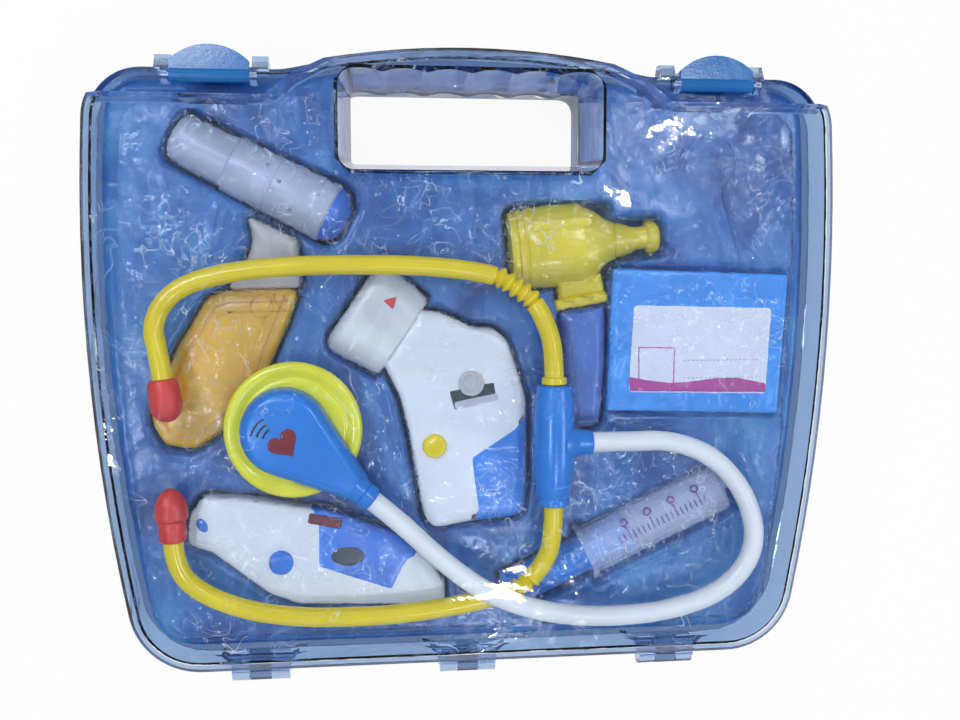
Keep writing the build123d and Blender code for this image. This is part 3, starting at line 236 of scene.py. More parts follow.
# ---- materials
m_cover = clear("cover_clear", (0.76, 0.85, 0.95), 0.035, ior=1.3)
# painted shade and painted reflection of the blue tray: the cover's lower walls tinted slate-blue
paint_wall_shade(m_cover, 0.052, 0.0585, (0.40, 0.53, 0.74))
# painted highlights: white lines that stand for glints on the cover
paint_glint_lines(m_cover, 38.0, 0.003, 0.45, 19.0)
# the rear shell's dark slate-blue tint is painted reflection of the blue tray and painted shade, seen through the clear
# walls
m_rear = clear("rear_clear", (0.17, 0.25, 0.43), 0.07, ior=1.33, through=(0.8, 0.86, 0.96))
m_blister = clear("blister_clear", (0.97, 0.98, 1.0), 0.07, 75.0, 0.0026, 300.0, 0.0004, 1.32)
# painted highlights: white lines that stand for glints on the film's folds
paint_glint_lines(m_blister, 70.0, 0.006, 0.6, 26.0)
m_barrel = clear("barrel_clear", (0.90, 0.93, 1.0), 0.05)
find_node(m_barrel, "BSDF_PRINCIPLED").inputs["Transmission Weight"].default_value = 0.78
m_yellow = plastic("yellow_plastic", (0.80, 0.60, 0.004), 0.22, 0.05, subsurface=0.1)
m_blue = plastic("sky_blue_plastic", (0.008, 0.19, 0.62), 0.24, 0.06)
m_latch = plastic("latch_blue_plastic", (0.008, 0.125, 0.38), 0.2, 0.06)
m_white = plastic("white_plastic", (0.80, 0.79, 0.76), 0.34, 0.05, stretch=(0.15, 1, 1), grain=300.0)
m_hose = plastic("white_hose_vinyl", (0.82, 0.82, 0.80), 0.36, 0.04, subsurface=0.15)
m_red = plastic("red_soft_plastic", (0.62, 0.03, 0.025), 0.4, 0.12)
m_black = plastic("black_print", (0.012, 0.012, 0.014), 0.25, 0.2)
m_silver = plastic("silver_paint", (0.5, 0.48, 0.5), 0.35, 0.1)
m_steel, tree, shader, _ = new_material("drawn_wire")
streak = noise_tex(tree, coords(tree, (1, 40, 40)), 120.0, 3.0)
feed(tree, shader, {
    "Metallic": 1.0,
    "Base Color": ramp(tree, streak, [(0.2, (0.45, 0.45, 0.47)), (0.8, (0.66, 0.66, 0.68))]),
    "Roughness": remap(tree, streak, 0.25, 0.42),
})
m_ring = plastic("yellow_clear_plastic", (0.80, 0.76, 0.03), 0.2, 0.08, subsurface=0.5)
m_heart = plastic("red_clear_plastic", (0.22, 0.008, 0.015), 0.12, 0.2)
m_maroon = plastic("maroon_clear_plastic", (0.16, 0.01, 0.02), 0.15, 0.25)
m_grey = plastic("grey_plastic", (0.42, 0.45, 0.53), 0.32, 0.08)
m_beige = plastic("beige_plastic", (0.55, 0.48, 0.42), 0.34, 0.1)
m_orange = plastic("orange_plastic", (0.80, 0.42, 0.001), 0.24, 0.1, subsurface=0.2)
m_deep = plastic("deep_blue_clear_plastic", (0.07, 0.17, 0.52), 0.18, 0.15)

m_head = plastic("white_hood_plastic", (0.72, 0.70, 0.66), 0.3, 0.12)
m_royal = plastic("royal_blue_plastic", (0.03, 0.17, 0.62), 0.24, 0.08)
m_amber = plastic("amber_edge_plastic", (0.72, 0.30, 0.01), 0.3, 0.1)
m_sky_badge = plastic("badge_blue_plastic", (0.02, 0.27, 0.72), 0.28, 0.08)
m_card = plastic("card_paper", (0.80, 0.76, 0.80), 0.5, 0.05, grain=1500.0)
m_magenta = plastic("magenta_print", (0.42, 0.03, 0.22), 0.5, 0.12)
m_ink = plastic("grey_print", (0.25, 0.2, 0.25), 0.5, 0.12)
m_purple = plastic("purple_print", (0.16, 0.04, 0.24), 0.4, 0.15)


def tray_material():
    """Thin blue formed sheet: deep blue with paler cloudy streaks, mostly painted reflection of the clear film over it,
    the rest the sheet's own uneven tone.
    """
    mat, tree, shader, _ = new_material("tray_blue_sheet")
    place = coords(tree)
    cloud = noise_tex(tree, place, 13.0, 4.0, 0.55, 1.2)
    sheen_streaks = noise_tex(tree, coords(tree, (1, 0.35, 1), 0.5), 60.0, 3.0, 0.6, 0.8)
    both = combine(tree, "MULTIPLY_ADD", sheen_streaks, 0.45, cloud)
    # the paler streaks and clouds in this colour are mostly painted reflection of the clear film above the tray
    feed(tree, shader, {
        "Base Color": ramp(tree, both, [
            (0.42, (0.005, 0.032, 0.15)), (0.62, (0.008, 0.066, 0.25)), (0.80, (0.018, 0.13, 0.37)),
            (0.98, (0.055, 0.21, 0.42)),
        ]),
        "Roughness": remap(tree, sheen_streaks, 0.16, 0.38),
        "Normal": bump(tree, sheen_streaks, 0.0002, bump(tree, cloud, 0.002)),
    })
    return mat


m_tray = tray_material()

PLAIN = [
    (m_rear, "rear_shell"),
    (m_cover, "front_cover"),
    (m_steel, "hinge_pins latch_pins"),
    (m_latch, "latch_left latch_right"),
    (m_tray, "insert_tray"),
    (m_blister, "blister"),
    (m_yellow, "headset_tube_upper headset_tube_lower gun_button otoscope_head otoscope_nozzle"),
    (m_red, "ear_tip_upper ear_tip_lower"),
    (m_blue, "y_connector chest_body gun_grip_panel thermometer_panel thermometer_button thermometer_eye "
        "hammer_cap badge_frame syringe_plunger"),
    (m_hose, "hose"),
    (m_white, "chest_disc gun_shell_rear gun_shell_front gun_head thermometer_shell_rear "
        "thermometer_shell_front badge_card"),
    (m_ring, "chest_ring"),
    (m_heart, "heart_window"),
    (m_black, "gun_window thermometer_window"),
    (m_silver, "gun_dial"),
    (m_maroon, "gun_lamp thermometer_slot"),
    (m_grey, "hammer_head"),
    (m_beige, "hammer_neck"),
    (m_orange, "hammer_handle"),
    (m_deep, "otoscope_handle"),
    (m_barrel, "syringe_barrel"),
]
for mat, names in PLAIN:
    for name in names.split():
        dress(name, mat)

# ---- mesh helpers (sizes in millimetres)
def polygon_distance(xs, ys, points):
    """Distance to a closed outline, negative inside it."""
    p = np.array([(q[0], q[1]) for q in points])
    q = np.roll(p, -1, axis=0)
    best = np.full(xs.shape, 1e9)
    inside = np.zeros(xs.shape, bool)
    for (ax, ay), (bx, by) in zip(p, q):
        dx, dy = bx - ax, by - ay
        t = np.clip(((xs - ax) * dx + (ys - ay) * dy) / (dx * dx + dy * dy + 1e-12), 0, 1)
        best = np.minimum(best, np.hypot(xs - ax - t * dx, ys - ay - t * dy))
        cross = ((ay > ys) != (by > ys)) & (xs < (bx - ax) * (ys - ay) / (by - ay + 1e-12) + ax)
        inside ^= cross
    return np.where(inside, -best, best)


def finish_mesh(name, verts, faces, mat, body, replaced=(), sharp=40.0):
    """A piece from points in millimetres, riding on a body and standing for the CAD nodes it replaces."""
    mesh = bpy.data.meshes.new(name)
    mesh.from_pydata([(x * MM, y * MM, z * MM) for x, y, z in verts], [], faces)
    bm = bmesh.new()
    bm.from_mesh(mesh)
    bmesh.ops.recalc_face_normals(bm, faces=bm.faces)
    bm.to_mesh(mesh)
    bm.free()
    mesh.materials.append(mat)
    mesh.shade_smooth()
    mesh.set_sharp_from_angle(angle=math.radians(sharp))
    obj = bpy.data.objects.new(name, mesh)
    bpy.context.scene.collection.objects.link(obj)
    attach(obj, body)
    if replaced:
        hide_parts(*replaced)
    return obj


def rounded(points, radius, step=1.6):
    """A closed outline with its corners rounded and its edges divided evenly. radius may be a list."""
    count = len(points)
    radii = radius if isinstance(radius, (list, tuple)) else [radius] * count
    result = []
    for i in range(count):
        before, here, after = Vector(points[i - 1]), Vector(points[i]), Vector(points[(i + 1) % count])
        a, b = before - here, after - here
        la, lb = a.length, b.length
        a.normalize()
        b.normalize()
        half = math.acos(max(-1, min(1, a.dot(b)))) / 2
        if math.pi / 2 - half < 0.01:
            result.append(here)
            continue
        cut = min(radii[i] / math.tan(half), 0.48 * la, 0.48 * lb)
        start, end = here + a * cut, here + b * cut
        steps = max(2, int(cut * (math.pi - 2 * half) / step) + 2)
        for k in range(steps + 1):
            t = k / steps
            result.append(start * (1 - t) ** 2 + here * 2 * t * (1 - t) + end * t ** 2)
    dense = []
    for p, q in zip(result, result[1:] + result[:1]):
        parts = max(1, int((q - p).length / step))
        for k in range(parts):
            dense.append(p.lerp(q, k / parts))
    clean = [dense[0]]
    for p in dense[1:]:
        if (p - clean[-1]).length > 0.25:
            clean.append(p)
    if (clean[0] - clean[-1]).length < 0.25:
        clean.pop()
    area = sum(p.x * q.y - q.x * p.y for p, q in zip(clean, clean[1:] + clean[:1]))
    return clean if area > 0 else clean[::-1]


def inset(points, distance):
    """A dense counterclockwise outline moved inward (or outward, if negative)."""
    count = len(points)
    moved = []
    for i in range(count):
        along_ = (points[(i + 1) % count] - points[i - 1]).normalized()
        moved.append(points[i] + Vector((-along_.y, along_.x)) * distance)
    return moved


def bands(count, rows, base=0):
    """Quads between rows of points, each row a closed ring."""
    for r in range(rows - 1):
        low, high = base + r * count, base + (r + 1) * count
        for i in range(count):
            j = (i + 1) % count
            yield low + i, low + j, high + j, high + i


def loft(name, rings, mat, body, replaced=(), capped=True, sharp=40.0):
    """A skin over closed rings of 3-D points, all with the same count."""
    count = len(rings[0])
    faces = list(bands(count, len(rings)))
    if capped:
        faces.append(tuple(range(count))[::-1])
        faces.append(tuple((len(rings) - 1) * count + i for i in range(count)))
    return finish_mesh(name, [tuple(p) for ring in rings for p in ring], faces, mat, body, replaced, sharp)


def columns(points):
    return np.array([p[0] for p in points]), np.array([p[1] for p in points])


def staggered(outline, pitch, rise=1.0):
    """Grid points over an outline's box, each second row shifted by half a step."""
    xs, ys = columns(outline)
    gx, gy = np.meshgrid(np.arange(min(xs), max(xs), pitch), np.arange(min(ys), max(ys), pitch * rise))
    gx = gx + np.where((np.arange(gx.shape[0]) % 2)[:, None] == 1, pitch / 2, 0)
    return gx.ravel(), gy.ravel()


def kept_faces(points, faces, outline, holes=()):
    """The triangles whose middles lie inside an outline and outside its holes."""
    cx, cy = (np.array([sum(points[i][axis] for i in f) / 3 for f in faces]) for axis in (0, 1))
    keep = polygon_distance(cx, cy, outline) < 0
    for hole in holes:
        keep &= polygon_distance(cx, cy, hole) > 0
    return [tuple(f) for f, k in zip(faces, keep) if k]


SLAB_PITCH = 1.5


def slab(name, outline, low, high, edge, mat, body="case", replaced=(), crown=0.0, low_edge=0.6):
    """A flat moulding over an outline, with a rounded top edge and a slightly crowned face."""
    line = [Vector((p[0], p[1])) for p in outline]
    gx, gy = staggered(line, SLAB_PITCH, 0.87)
    keep = polygon_distance(gx, gy, line) < -max(edge, 0.3) - 0.4 * SLAB_PITCH
    inner = [Vector((a, b)) for a, b in zip(gx[keep], gy[keep])]
    for share in (0.08, 0.25, 0.55, 1.0):
        depth = edge * share
        if depth < 0.04:
            continue
        ring = inset(line, depth)
        gap = -polygon_distance(*columns(ring), line)
        inner += [p for p, g in zip(ring, gap) if abs(g - depth) < 0.12 * depth + 0.01]
    count = len(line)
    loop = [(i, (i + 1) % count) for i in range(count)]
    points, _, faces, _, _, _ = delaunay_2d_cdt(line + inner, loop, [], 0, 0.0005)
    faces = kept_faces(points, faces, line)
    px, py = columns(points)
    depth = np.clip(-polygon_distance(px, py, line), 0, 1000)
    depth[:count] = 0
    roll = np.clip(1 - depth / max(edge, 1e-3), 0, 1)
    z = high - edge * (1 - np.sqrt(np.clip(1 - roll ** 2, 0, 1)))
    if crown:
        z = z - crown * np.clip(1 - (depth - edge) / (8 * crown), 0, 1) ** 2
    verts = list(zip(px, py, z))
    base = len(verts)
    for ring_z, shrink in ((low + low_edge, 0.0), (low, low_edge)):
        verts += [(p.x, p.y, ring_z) for p in inset(line, shrink)]
    for i in range(count):
        j = (i + 1) % count
        faces.append((base + i, base + j, j, i))
        faces.append((base + count + i, base + count + j, base + j, base + i))
    faces.append(tuple(base + count + i for i in range(count))[::-1])
    return finish_mesh(name, verts, faces, mat, body, replaced, 50)


def clip(points, window):
    """The part of an outline inside a convex counterclockwise window."""
    result = [Vector(p) for p in points]
    window = [Vector(p) for p in window]
    area = sum(p.x * q.y - q.x * p.y for p, q in zip(window, window[1:] + window[:1]))
    if area < 0:
        window.reverse()
    for a, b in zip(window, window[1:] + window[:1]):
        side = [(b - a).cross(p - a) for p in result]
        kept = []
        for i, p in enumerate(result):
            q, sp, sq = result[(i + 1) % len(result)], side[i], side[(i + 1) % len(result)]
            if sp >= 0:
                kept.append(p)
            if sp * sq < 0:
                kept.append(p.lerp(q, sp / (sp - sq)))
        result = kept
    return result


def frame_at(start, angle, height):
    """Origin and the three directions of an axis lying in plan."""
    c, s = math.cos(math.radians(angle)), math.sin(math.radians(angle))
    return Vector((*start, height)), Vector((c, s, 0)), Vector((-s, c, 0))


def turned(name, start, angle, height, profile, mat, replaced=(), slot=None, sides=48, wide=None, sharp=35.0):
    """A turned piece from (distance, radius) pairs; wide adds a straight half width for a flattened round."""
    origin, axis, across = frame_at(start, angle, height)
    rings = []
    for distance, radius in profile:
        spread = wide(distance) if wide else 0.0
        ring = []
        for k in range(sides):
            turn = 2 * math.pi * (k + 0.5) / sides
            x = radius * math.cos(turn)
            x += math.copysign(spread, x)
            ring.append(origin + axis * distance + across * x + Vector((0, 0, radius * math.sin(turn))))
        rings.append(ring)
    return loft(name, rings, mat, "case", replaced, sharp=sharp)


def circle(centre, radius, z, sides):
    turns = [2 * math.pi * k / sides for k in range(sides)]
    return [(centre[0] + radius * math.cos(t), centre[1] + radius * math.sin(t), z) for t in turns]


def disc(name, centre, profile, mat, body="case", replaced=(), sides=96, sharp=35):
    """An upright turned piece from (radius, height) pairs."""
    return loft(name, [circle(centre, r, z, sides) for r, z in profile], mat, body, replaced, sharp=sharp)


def dome(name, centre, radius, low, high, mat, body, replaced=(), edge=0.9, dish=0.0, sides=48):
    """A round upright button with a rounded rim and a slightly dished top."""
    turns = [math.pi / 2 * k / 4 for k in range(5)]
    profile = [(radius, low)] + [(radius - edge * (1 - math.cos(t)), high - edge * (1 - math.sin(t))) for t in turns]
    profile += [(radius * 0.6, high - dish * 0.7), (radius * 0.3, high - dish), (0.05, high - dish)]
    return disc(name, centre, profile, mat, body, replaced, sides, 40.0)


def route(points):
    """Points read along a smooth NURBS line that has the given control points."""
    data = bpy.data.curves.new("route", "CURVE")
    data.dimensions = "3D"
    data.resolution_u = 14
    spline = data.splines.new("NURBS")
    spline.points.add(len(points) - 1)
    for target, point in zip(spline.points, points):
        target.co = (*point, 1)
    spline.order_u = 3
    spline.use_endpoint_u = True
    obj = bpy.data.objects.new("route", data)
    mesh = bpy.data.meshes.new_from_object(obj)
    line = [v.co.copy() for v in mesh.vertices]
    bpy.data.objects.remove(obj)
    bpy.data.meshes.remove(mesh)
    bpy.data.curves.remove(data)
    clean = [line[0]]
    for p in line[1:]:
        if (p - clean[-1]).length > 0.3:
            clean.append(p)
    return clean


def tube(name, line, radius, mat, replaced, sides=24, ribs=()):
    """A round tube along a line; ribs are (start, end, count) by distance from the line's start."""
    fine = [line[0]]
    lengths = [0.0]
    for p, q in zip(line, line[1:]):
        span = (q - p).length
        parts = max(1, int(span / 0.9))
        for k in range(1, parts + 1):
            fine.append(p.lerp(q, k / parts))
            lengths.append(lengths[-1] + span / parts)
    rings = []
    for i, point in enumerate(fine):
        ahead = (fine[min(i + 1, len(fine) - 1)] - fine[max(i - 1, 0)]).normalized()
        side = ahead.cross(Vector((0, 0, 1))).normalized()
        over = side.cross(ahead).normalized()
        size = radius
        for start, end, count in ribs:
            if start <= lengths[i] <= end:
                wave = 0.5 - 0.5 * math.cos(2 * math.pi * count * (lengths[i] - start) / (end - start))
                size = radius - 1.5 + 2.1 * wave ** 0.7
        rings.append([
            point + side * size * math.cos(2 * math.pi * k / sides) + over * size * math.sin(2 * math.pi * k / sides)
            for k in range(sides)
        ])
    return loft(name, rings, mat, "case", replaced, sharp=60)


# ---- stethoscope
TUBE_Z = 45.5
HOSE_Z = 45.4
JOINT_Z = 49.8
TIP_Z = 47.7
UPPER = [
    (-123.1, -0.6, TIP_Z), (-124.2, 9.0, TIP_Z), (-127.2, 22.0, TUBE_Z + 1.0), (-119.5, 34.8, TUBE_Z),
    (-102.0, 41.6, TUBE_Z),
    (-75.0, 44.9, TUBE_Z), (-34.0, 45.5, TUBE_Z), (-8.0, 44.2, TUBE_Z), (12.4, 40.9, TUBE_Z), (19.8, 35.8, TUBE_Z),
    (27.2, 30.7, TUBE_Z), (33.5, 17.5, TUBE_Z + 2.2), (35.0, 6.0, JOINT_Z), (35.0, -4.3, JOINT_Z),
]
LOWER = [
    (35.0, -54.9, JOINT_Z), (35.0, -64.5, JOINT_Z), (33.4, -78.0, TUBE_Z + 2.0), (23.9, -90.3, TUBE_Z),
    (13.8, -94.0, TUBE_Z),
    (-8.0, -98.6, TUBE_Z), (-38.0, -101.4, TUBE_Z), (-73.0, -100.7, TUBE_Z), (-98.0, -95.2, TUBE_Z),
    (-114.6, -85.6, TUBE_Z + 0.8), (-120.4, -74.6, TIP_Z), (-120.7, -65.9, TIP_Z),
]
HOSE = [
    (51.2, -28.5, JOINT_Z), (66.0, -28.5, JOINT_Z), (87.0, -28.9, HOSE_Z + 0.4), (107.5, -37.5, HOSE_Z),
    (121.8, -56.0, HOSE_Z), (125.5, -78.0, HOSE_Z), (112.0, -95.5, HOSE_Z), (87.0, -103.8, HOSE_Z),
    (58.0, -104.8, HOSE_Z + 2.0), (31.0, -99.4, HOSE_Z + 9.0), (7.0, -90.9, HOSE_Z + 9.0), (-13.0, -76.0, HOSE_Z + 5.8),
    (-29.0, -60.0, HOSE_Z + 5.6), (-40.22, -50.71, HOSE_Z + 5.6),
]


def distance_to(line, target):
    """How far along a line its nearest point to a place in plan is."""
    best, total, found = 1e9, 0.0, 0.0
    for p, q in zip(line, line[1:]):
        gap = (Vector((q.x, q.y)) - Vector(target)).length
        total += (q - p).length
        if gap < best:
            best, found = gap, total
    return found


upper_line = route(UPPER)
at = distance_to(upper_line, (19.6, 35.6))
tube("tube_upper", upper_line, 4.0, m_yellow, ("headset_tube_upper",), ribs=[(at - 9.5, at + 9.5, 5)])
lower_line = route(LOWER)
at = distance_to(lower_line, (24.6, -88.6))
tube("tube_lower", lower_line, 4.0, m_yellow, ("headset_tube_lower",), ribs=[(at - 4.5, at + 6.5, 3)])
turned("tube_collar", (35.0, -0.9), -90, JOINT_Z, [(0, 4.4), (0.5, 5.2), (2.9, 5.2), (3.4, 4.4)], m_yellow,
    slot="yellow_plastic")
tube("hose_tube", route(HOSE), 4.2, m_hose, ("hose",))


def heading(start, end):
    return math.degrees(math.atan2(end[1] - start[1], end[0] - start[0]))


turned("tip_upper", UPPER[0][:2], heading(UPPER[1], UPPER[0]), TIP_Z, [(-0.5, 4.2), (0, 5.4), (1.2, 5.9), (3, 6.3),
    (9, 6.6), (11.5, 6.4), (13.6, 5.6), (15.4, 4.2), (16.5, 2.6), (17, 0.1)], m_red, replaced=("ear_tip_upper",),
    slot="red_soft", sides=20, sharp=22)
turned("tip_lower", LOWER[-1][:2], heading(LOWER[-2], LOWER[-1]), TIP_Z, [(-0.5, 4.2), (0, 5.2), (1, 5.5), (7, 5.6),
    (8, 5.4), (8.6, 6.2), (9.4, 6.6), (13, 6.6), (16, 6.0), (18.4, 4.8), (20.4, 3), (21.3, 1.4), (21.5, 0.1)], m_red,
    replaced=("ear_tip_lower",), slot="red_soft", sides=20, sharp=22)
turned("joint", (35.0, -4.3), -90, JOINT_Z, [(0, 6.4), (0.6, 7.2), (2.2, 7.5), (3, 7.3), (6, 7.9), (12, 8.4),
    (18, 8.6), (30, 8.6), (36, 8.3), (42, 7.5), (46.5, 6.9), (47.4, 6.4), (48, 6.6), (50, 6.5), (50.6, 5.6)], m_blue,
    replaced=("y_connector",), slot="bright_blue")
turned("joint_branch", (39.0, -28.5), 0, JOINT_Z, [(0, 8.4), (3.4, 7.4), (5, 6.2), (7, 5.4), (11.4, 5.0),
    (12.2, 4.5)], m_blue, slot="bright_blue")

# ---- chestpiece
CHEST = (-72.2, -22.1)
disc("chest_base", CHEST, [(25.0, 41.25), (25.7, 41.6), (25.7, 42.2)], m_white, replaced=("chest_disc",))
disc("chest_rim", CHEST, [
    (27.0, 42.2), (27.8, 42.6), (28.1, 43.4), (28.1, 44.4), (27.6, 45.4), (26.6, 46.0), (25.2, 46.2), (24.0, 45.9),
    (22.6, 45.2),
    (21.6, 45.0), (21.0, 45.5), (20.0, 45.7), (10.0, 45.7),
], m_ring, replaced=("chest_ring",))


def teardrop(centre, far, radius, far_radius, steps=28):
    """The outline round a large and a small circle."""
    cx, cy = centre
    fx, fy = far
    turn = math.atan2(fy - cy, fx - cx)
    gap = math.hypot(fx - cx, fy - cy)
    lean = math.acos((radius - far_radius) / gap)
    points = []
    for k in range(steps + 1):
        a = turn + lean + (2 * math.pi - 2 * lean) * k / steps
        points.append((cx + radius * math.cos(a), cy + radius * math.sin(a)))
    for k in range(steps // 2 + 1):
        a = turn - lean + 2 * lean * k / (steps // 2)
        points.append((fx + far_radius * math.cos(a), fy + far_radius * math.sin(a)))
    return points


drop = rounded(teardrop((-75.4, -22.1), (-48.6, -43.9), 18.0, 6.6), 12, 1.2)
rings = [[(p.x, p.y, 45.9) for p in drop], [(p.x, p.y, 47.6) for p in inset(drop, -0.2)]]
for k in range(8):
    a = math.pi / 2 * k / 7
    rings.append([(p.x, p.y, 48.6 + 7.4 * math.sin(a) ** 0.9) for p in inset(drop, 4.6 * (1 - math.cos(a)))])
loft("chest_cover", rings, m_blue, "case", ("chest_body",), sharp=50)
turned("chest_socket", (-40.22, -50.71), heading(HOSE[-1], HOSE[-2]), 51.0, [(-10, 5.6), (-5.4, 5.5), (-5, 5.0),
    (-4.4, 5.4), (-0.8, 5.3), (0, 4.5)], m_blue, slot="bright_blue")


def heart_outline(centre, size, turn, steps):
    points = []
    for k in range(steps):
        t = 2 * math.pi * k / steps
        x = 16 * math.sin(t) ** 3
        y = 13 * math.cos(t) - 5 * math.cos(2 * t) - 2 * math.cos(3 * t) - math.cos(4 * t)
        points.append(Vector((x, y)) * size / 16)
    c, s = math.cos(turn), math.sin(turn)
    return [Vector((centre[0] + c * p.x - s * p.y, centre[1] + s * p.x + c * p.y)) for p in points]


HEART = (-75.1, -25.9)
outline = rounded(heart_outline(HEART, 6.3, math.radians(35), 44), 0.3, 0.8)
slab("heart_lens", outline, 55.2, 56.5, 0.5, m_heart, replaced=("heart_window",))


def strip(name, path_points, width, z, mat, thick=0.12):
    """A thin printed line on a flat face."""
    pts = [Vector(p) for p in path_points]
    left, right_ = [], []
    for i, p in enumerate(pts):
        d = (pts[min(i + 1, len(pts) - 1)] - pts[max(i - 1, 0)]).normalized()
        n = Vector((-d.y, d.x)) * width / 2
        left.append(p + n)
        right_.append(p - n)
    ring = left + right_[::-1]
    count = len(ring)
    verts = [(p.x, p.y, z - 0.2) for p in ring] + [(p.x, p.y, z + thick) for p in ring]
    faces = []
    m = len(pts)
    for i in range(m - 1):
        faces.append((count + i, count + i + 1, count + count - 2 - i, count + count - 1 - i))
    faces += bands(count, 2)
    return finish_mesh(name, verts, faces, mat, "case", sharp=30)


for index, radius in enumerate((5.2, 7.6, 10.0)):
    arc = []
    for k in range(9):
        a = math.radians(118 + 50 * k / 8)
        arc.append((-78.2 + radius * math.cos(a), -24.6 + radius * math.sin(a)))
    strip(f"arc_{index}", arc, 0.8, 56.0, m_black)

# ---- toy scanner gun
GUN_BODY = [
    (-11.3, 25.4), (3.2, 18.6), (12.0, 18.2), (17.5, 13.0), (25.3, -10.9), (25.5, -45.1), (24.5, -61.9),
    (2.4, -64.1), (-14.9, -66.8), (-18.4, -61.0), (-24.6, -25.5), (-28.1, -10.2), (-35.1, 3.8), (-20.0, 26.2),
]
GUN_GRIP = [(30.0, -14.0), (0.2, -33.0), (-1.9, -36.4), (2.6, -70.0), (30.0, -70.0)]
gun_outline = rounded(GUN_BODY, [4, 9, 6, 7, 12, 20, 6, 8, 5, 8, 16, 14, 3, 3])
slab("gun_body", gun_outline, 14.4, 38.0, 2.6, m_white, replaced=("gun_shell_rear", "gun_shell_front"),
    crown=0.4)
grip = rounded(clip(inset(gun_outline, -0.12), GUN_GRIP), 1.2, 1.2)
slab("gun_grip", grip, 27.2, 38.15, 2.4, m_blue, replaced=("gun_grip_panel",), crown=0.4,
    low_edge=0.2)
GUN_WINDOW = [(-7.6, -7.8), (11.4, -4.2), (12.3, -11.4), (-5.5, -15.4)]
slab("gun_label", rounded(GUN_WINDOW, 0.5), 37.4, 38.12, 0.1, m_black, replaced=("gun_window",),
    low_edge=0.1)
slab("gun_label_bar", rounded([(-5.5, -12.4), (12.9, -8.8), (13.2, -11.6), (-4.9, -15.9)], 0.5), 37.5, 38.22, 0.1,
    m_silver, low_edge=0.1)
GUN_SEAM = [(30.0, -12.6), (-0.9, -32.4), (-3.2, -36.4), (1.3, -70.0), (30.0, -70.0)]
seam = rounded(clip(inset(gun_outline, 0.3), GUN_SEAM), 1.2, 1.2)
slab("gun_grip_seam", seam, 27.0, 37.75, 2.4, m_maroon, low_edge=0.2)
GUN_HEAD = ((-27.3, 15.4), 146.0)
head_profile = [
    (-1.0, 10.2), (0.0, 11.3), (2.0, 11.6), (8, 12.1), (16, 12.5), (20, 12.6), (22, 12.2), (23.6, 11.2), (24.6, 9.6),
    (25, 7.6),
]
turned("gun_hood", *GUN_HEAD, 27.1, head_profile, m_head, replaced=("gun_head",), slot="white_plastic", sides=64,
    wide=lambda d: 8.2 + 0.9 * min(1, d / 20))
dome("gun_key_cap", (-14.0, -30.9), 5.0, 32.0, 39.8, m_yellow, "gun_key", ("gun_button",), 0.7, 0.25)
disc("gun_knob_dial", (1.7, -4.6), [
    (1.6, 34.4), (1.6, 38.3), (5.0, 38.3), (5.3, 38.6), (5.3, 39.2), (5.0, 39.6), (4.3, 39.7), (3.7, 39.2),
    (3.4, 39.15),
    (3.1, 39.6), (2.5, 39.7), (2.2, 39.2), (0.9, 39.2), (0.7, 39.5), (0.05, 39.55),
], m_silver, "gun_knob", ("gun_dial",), 48, 30)
origin, axis, across = frame_at(*GUN_HEAD, 27.1)
mark = origin + axis * 12 + across * -9.5
slab("gun_mark", rounded([(mark.x - 3.0, mark.y + 0.6), (mark.x + 2.6, mark.y + 2.2), (mark.x + 0.9, mark.y - 3.0)],
    0.3, 0.6), 39.3, 39.95, 0.1, m_red, low_edge=0.1)

# ---- ear thermometer
THERMO_BODY = [
    (-109.8, -50.9), (-116.0, -58.0), (-117.0, -71.0), (-107.1, -74.5), (-83.6, -93.2), (-71.3, -97.9),
    (-9.8, -100.3), (-9.8, -90.6), (-15.3, -82.5), (-31.0, -69.0), (-58.1, -58.3), (-91.1, -52.3),
]
thermo_outline = rounded(THERMO_BODY, [5, 6, 4, 5, 14, 12, 3, 4, 6, 14, 30, 30])
slab("thermometer_body", thermo_outline, 18.0, 38.0, 2.2, m_white,
    replaced=("thermometer_shell_rear", "thermometer_shell_front"), crown=0.4)
THERMO_PANEL = [(-65.9, -50.0), (-66.3, -83.7), (-31.2, -96.2), (-15.0, -66.0)]
panel = rounded(clip(inset(thermo_outline, -0.12), THERMO_PANEL), 1.2, 1.2)
slab("thermometer_face", panel, 28.2, 38.15, 2.0, m_royal, replaced=("thermometer_panel",),
    crown=0.4, low_edge=0.2)
oval = [(-50.8 + 7.0 * x, -77.4 + 4.1 * y) for x, y, _ in circle((0, 0), 1, 0, 28)]
slab("thermometer_glass", rounded(oval, 2, 1.0), 37.4, 38.3, 0.2, m_black, replaced=("thermometer_window",),
    low_edge=0.1)
SLOT_TURN = math.radians(-12)
c, s = math.cos(SLOT_TURN), math.sin(SLOT_TURN)
slot_box = [(-60.2 + c * x - s * y, -62.0 + s * x + c * y) for x, y in [(-7, -2.2), (7, -2.2), (7, 2.2), (-7, 2.2)]]
slab("thermometer_bar", rounded(slot_box, 0.8, 0.8), 35.2, 38.6, 0.5, m_maroon, replaced=("thermometer_slot",))
eye = [(-110.6 + 2.2 * x - 0.8 * y, -62.4 + 3.0 * y) for x, y, _ in circle((0, 0), 1, 0, 20)]
slab("thermometer_spot", rounded(eye, 1, 0.8), 37.3, 38.4, 0.3, m_royal, replaced=("thermometer_eye",),
    low_edge=0.1)
dome("thermometer_key_cap", (-78.6, -79.1), 5.0, 32.0, 39.8, m_royal, "thermometer_key", ("thermometer_button",),
    0.7, 0.25)

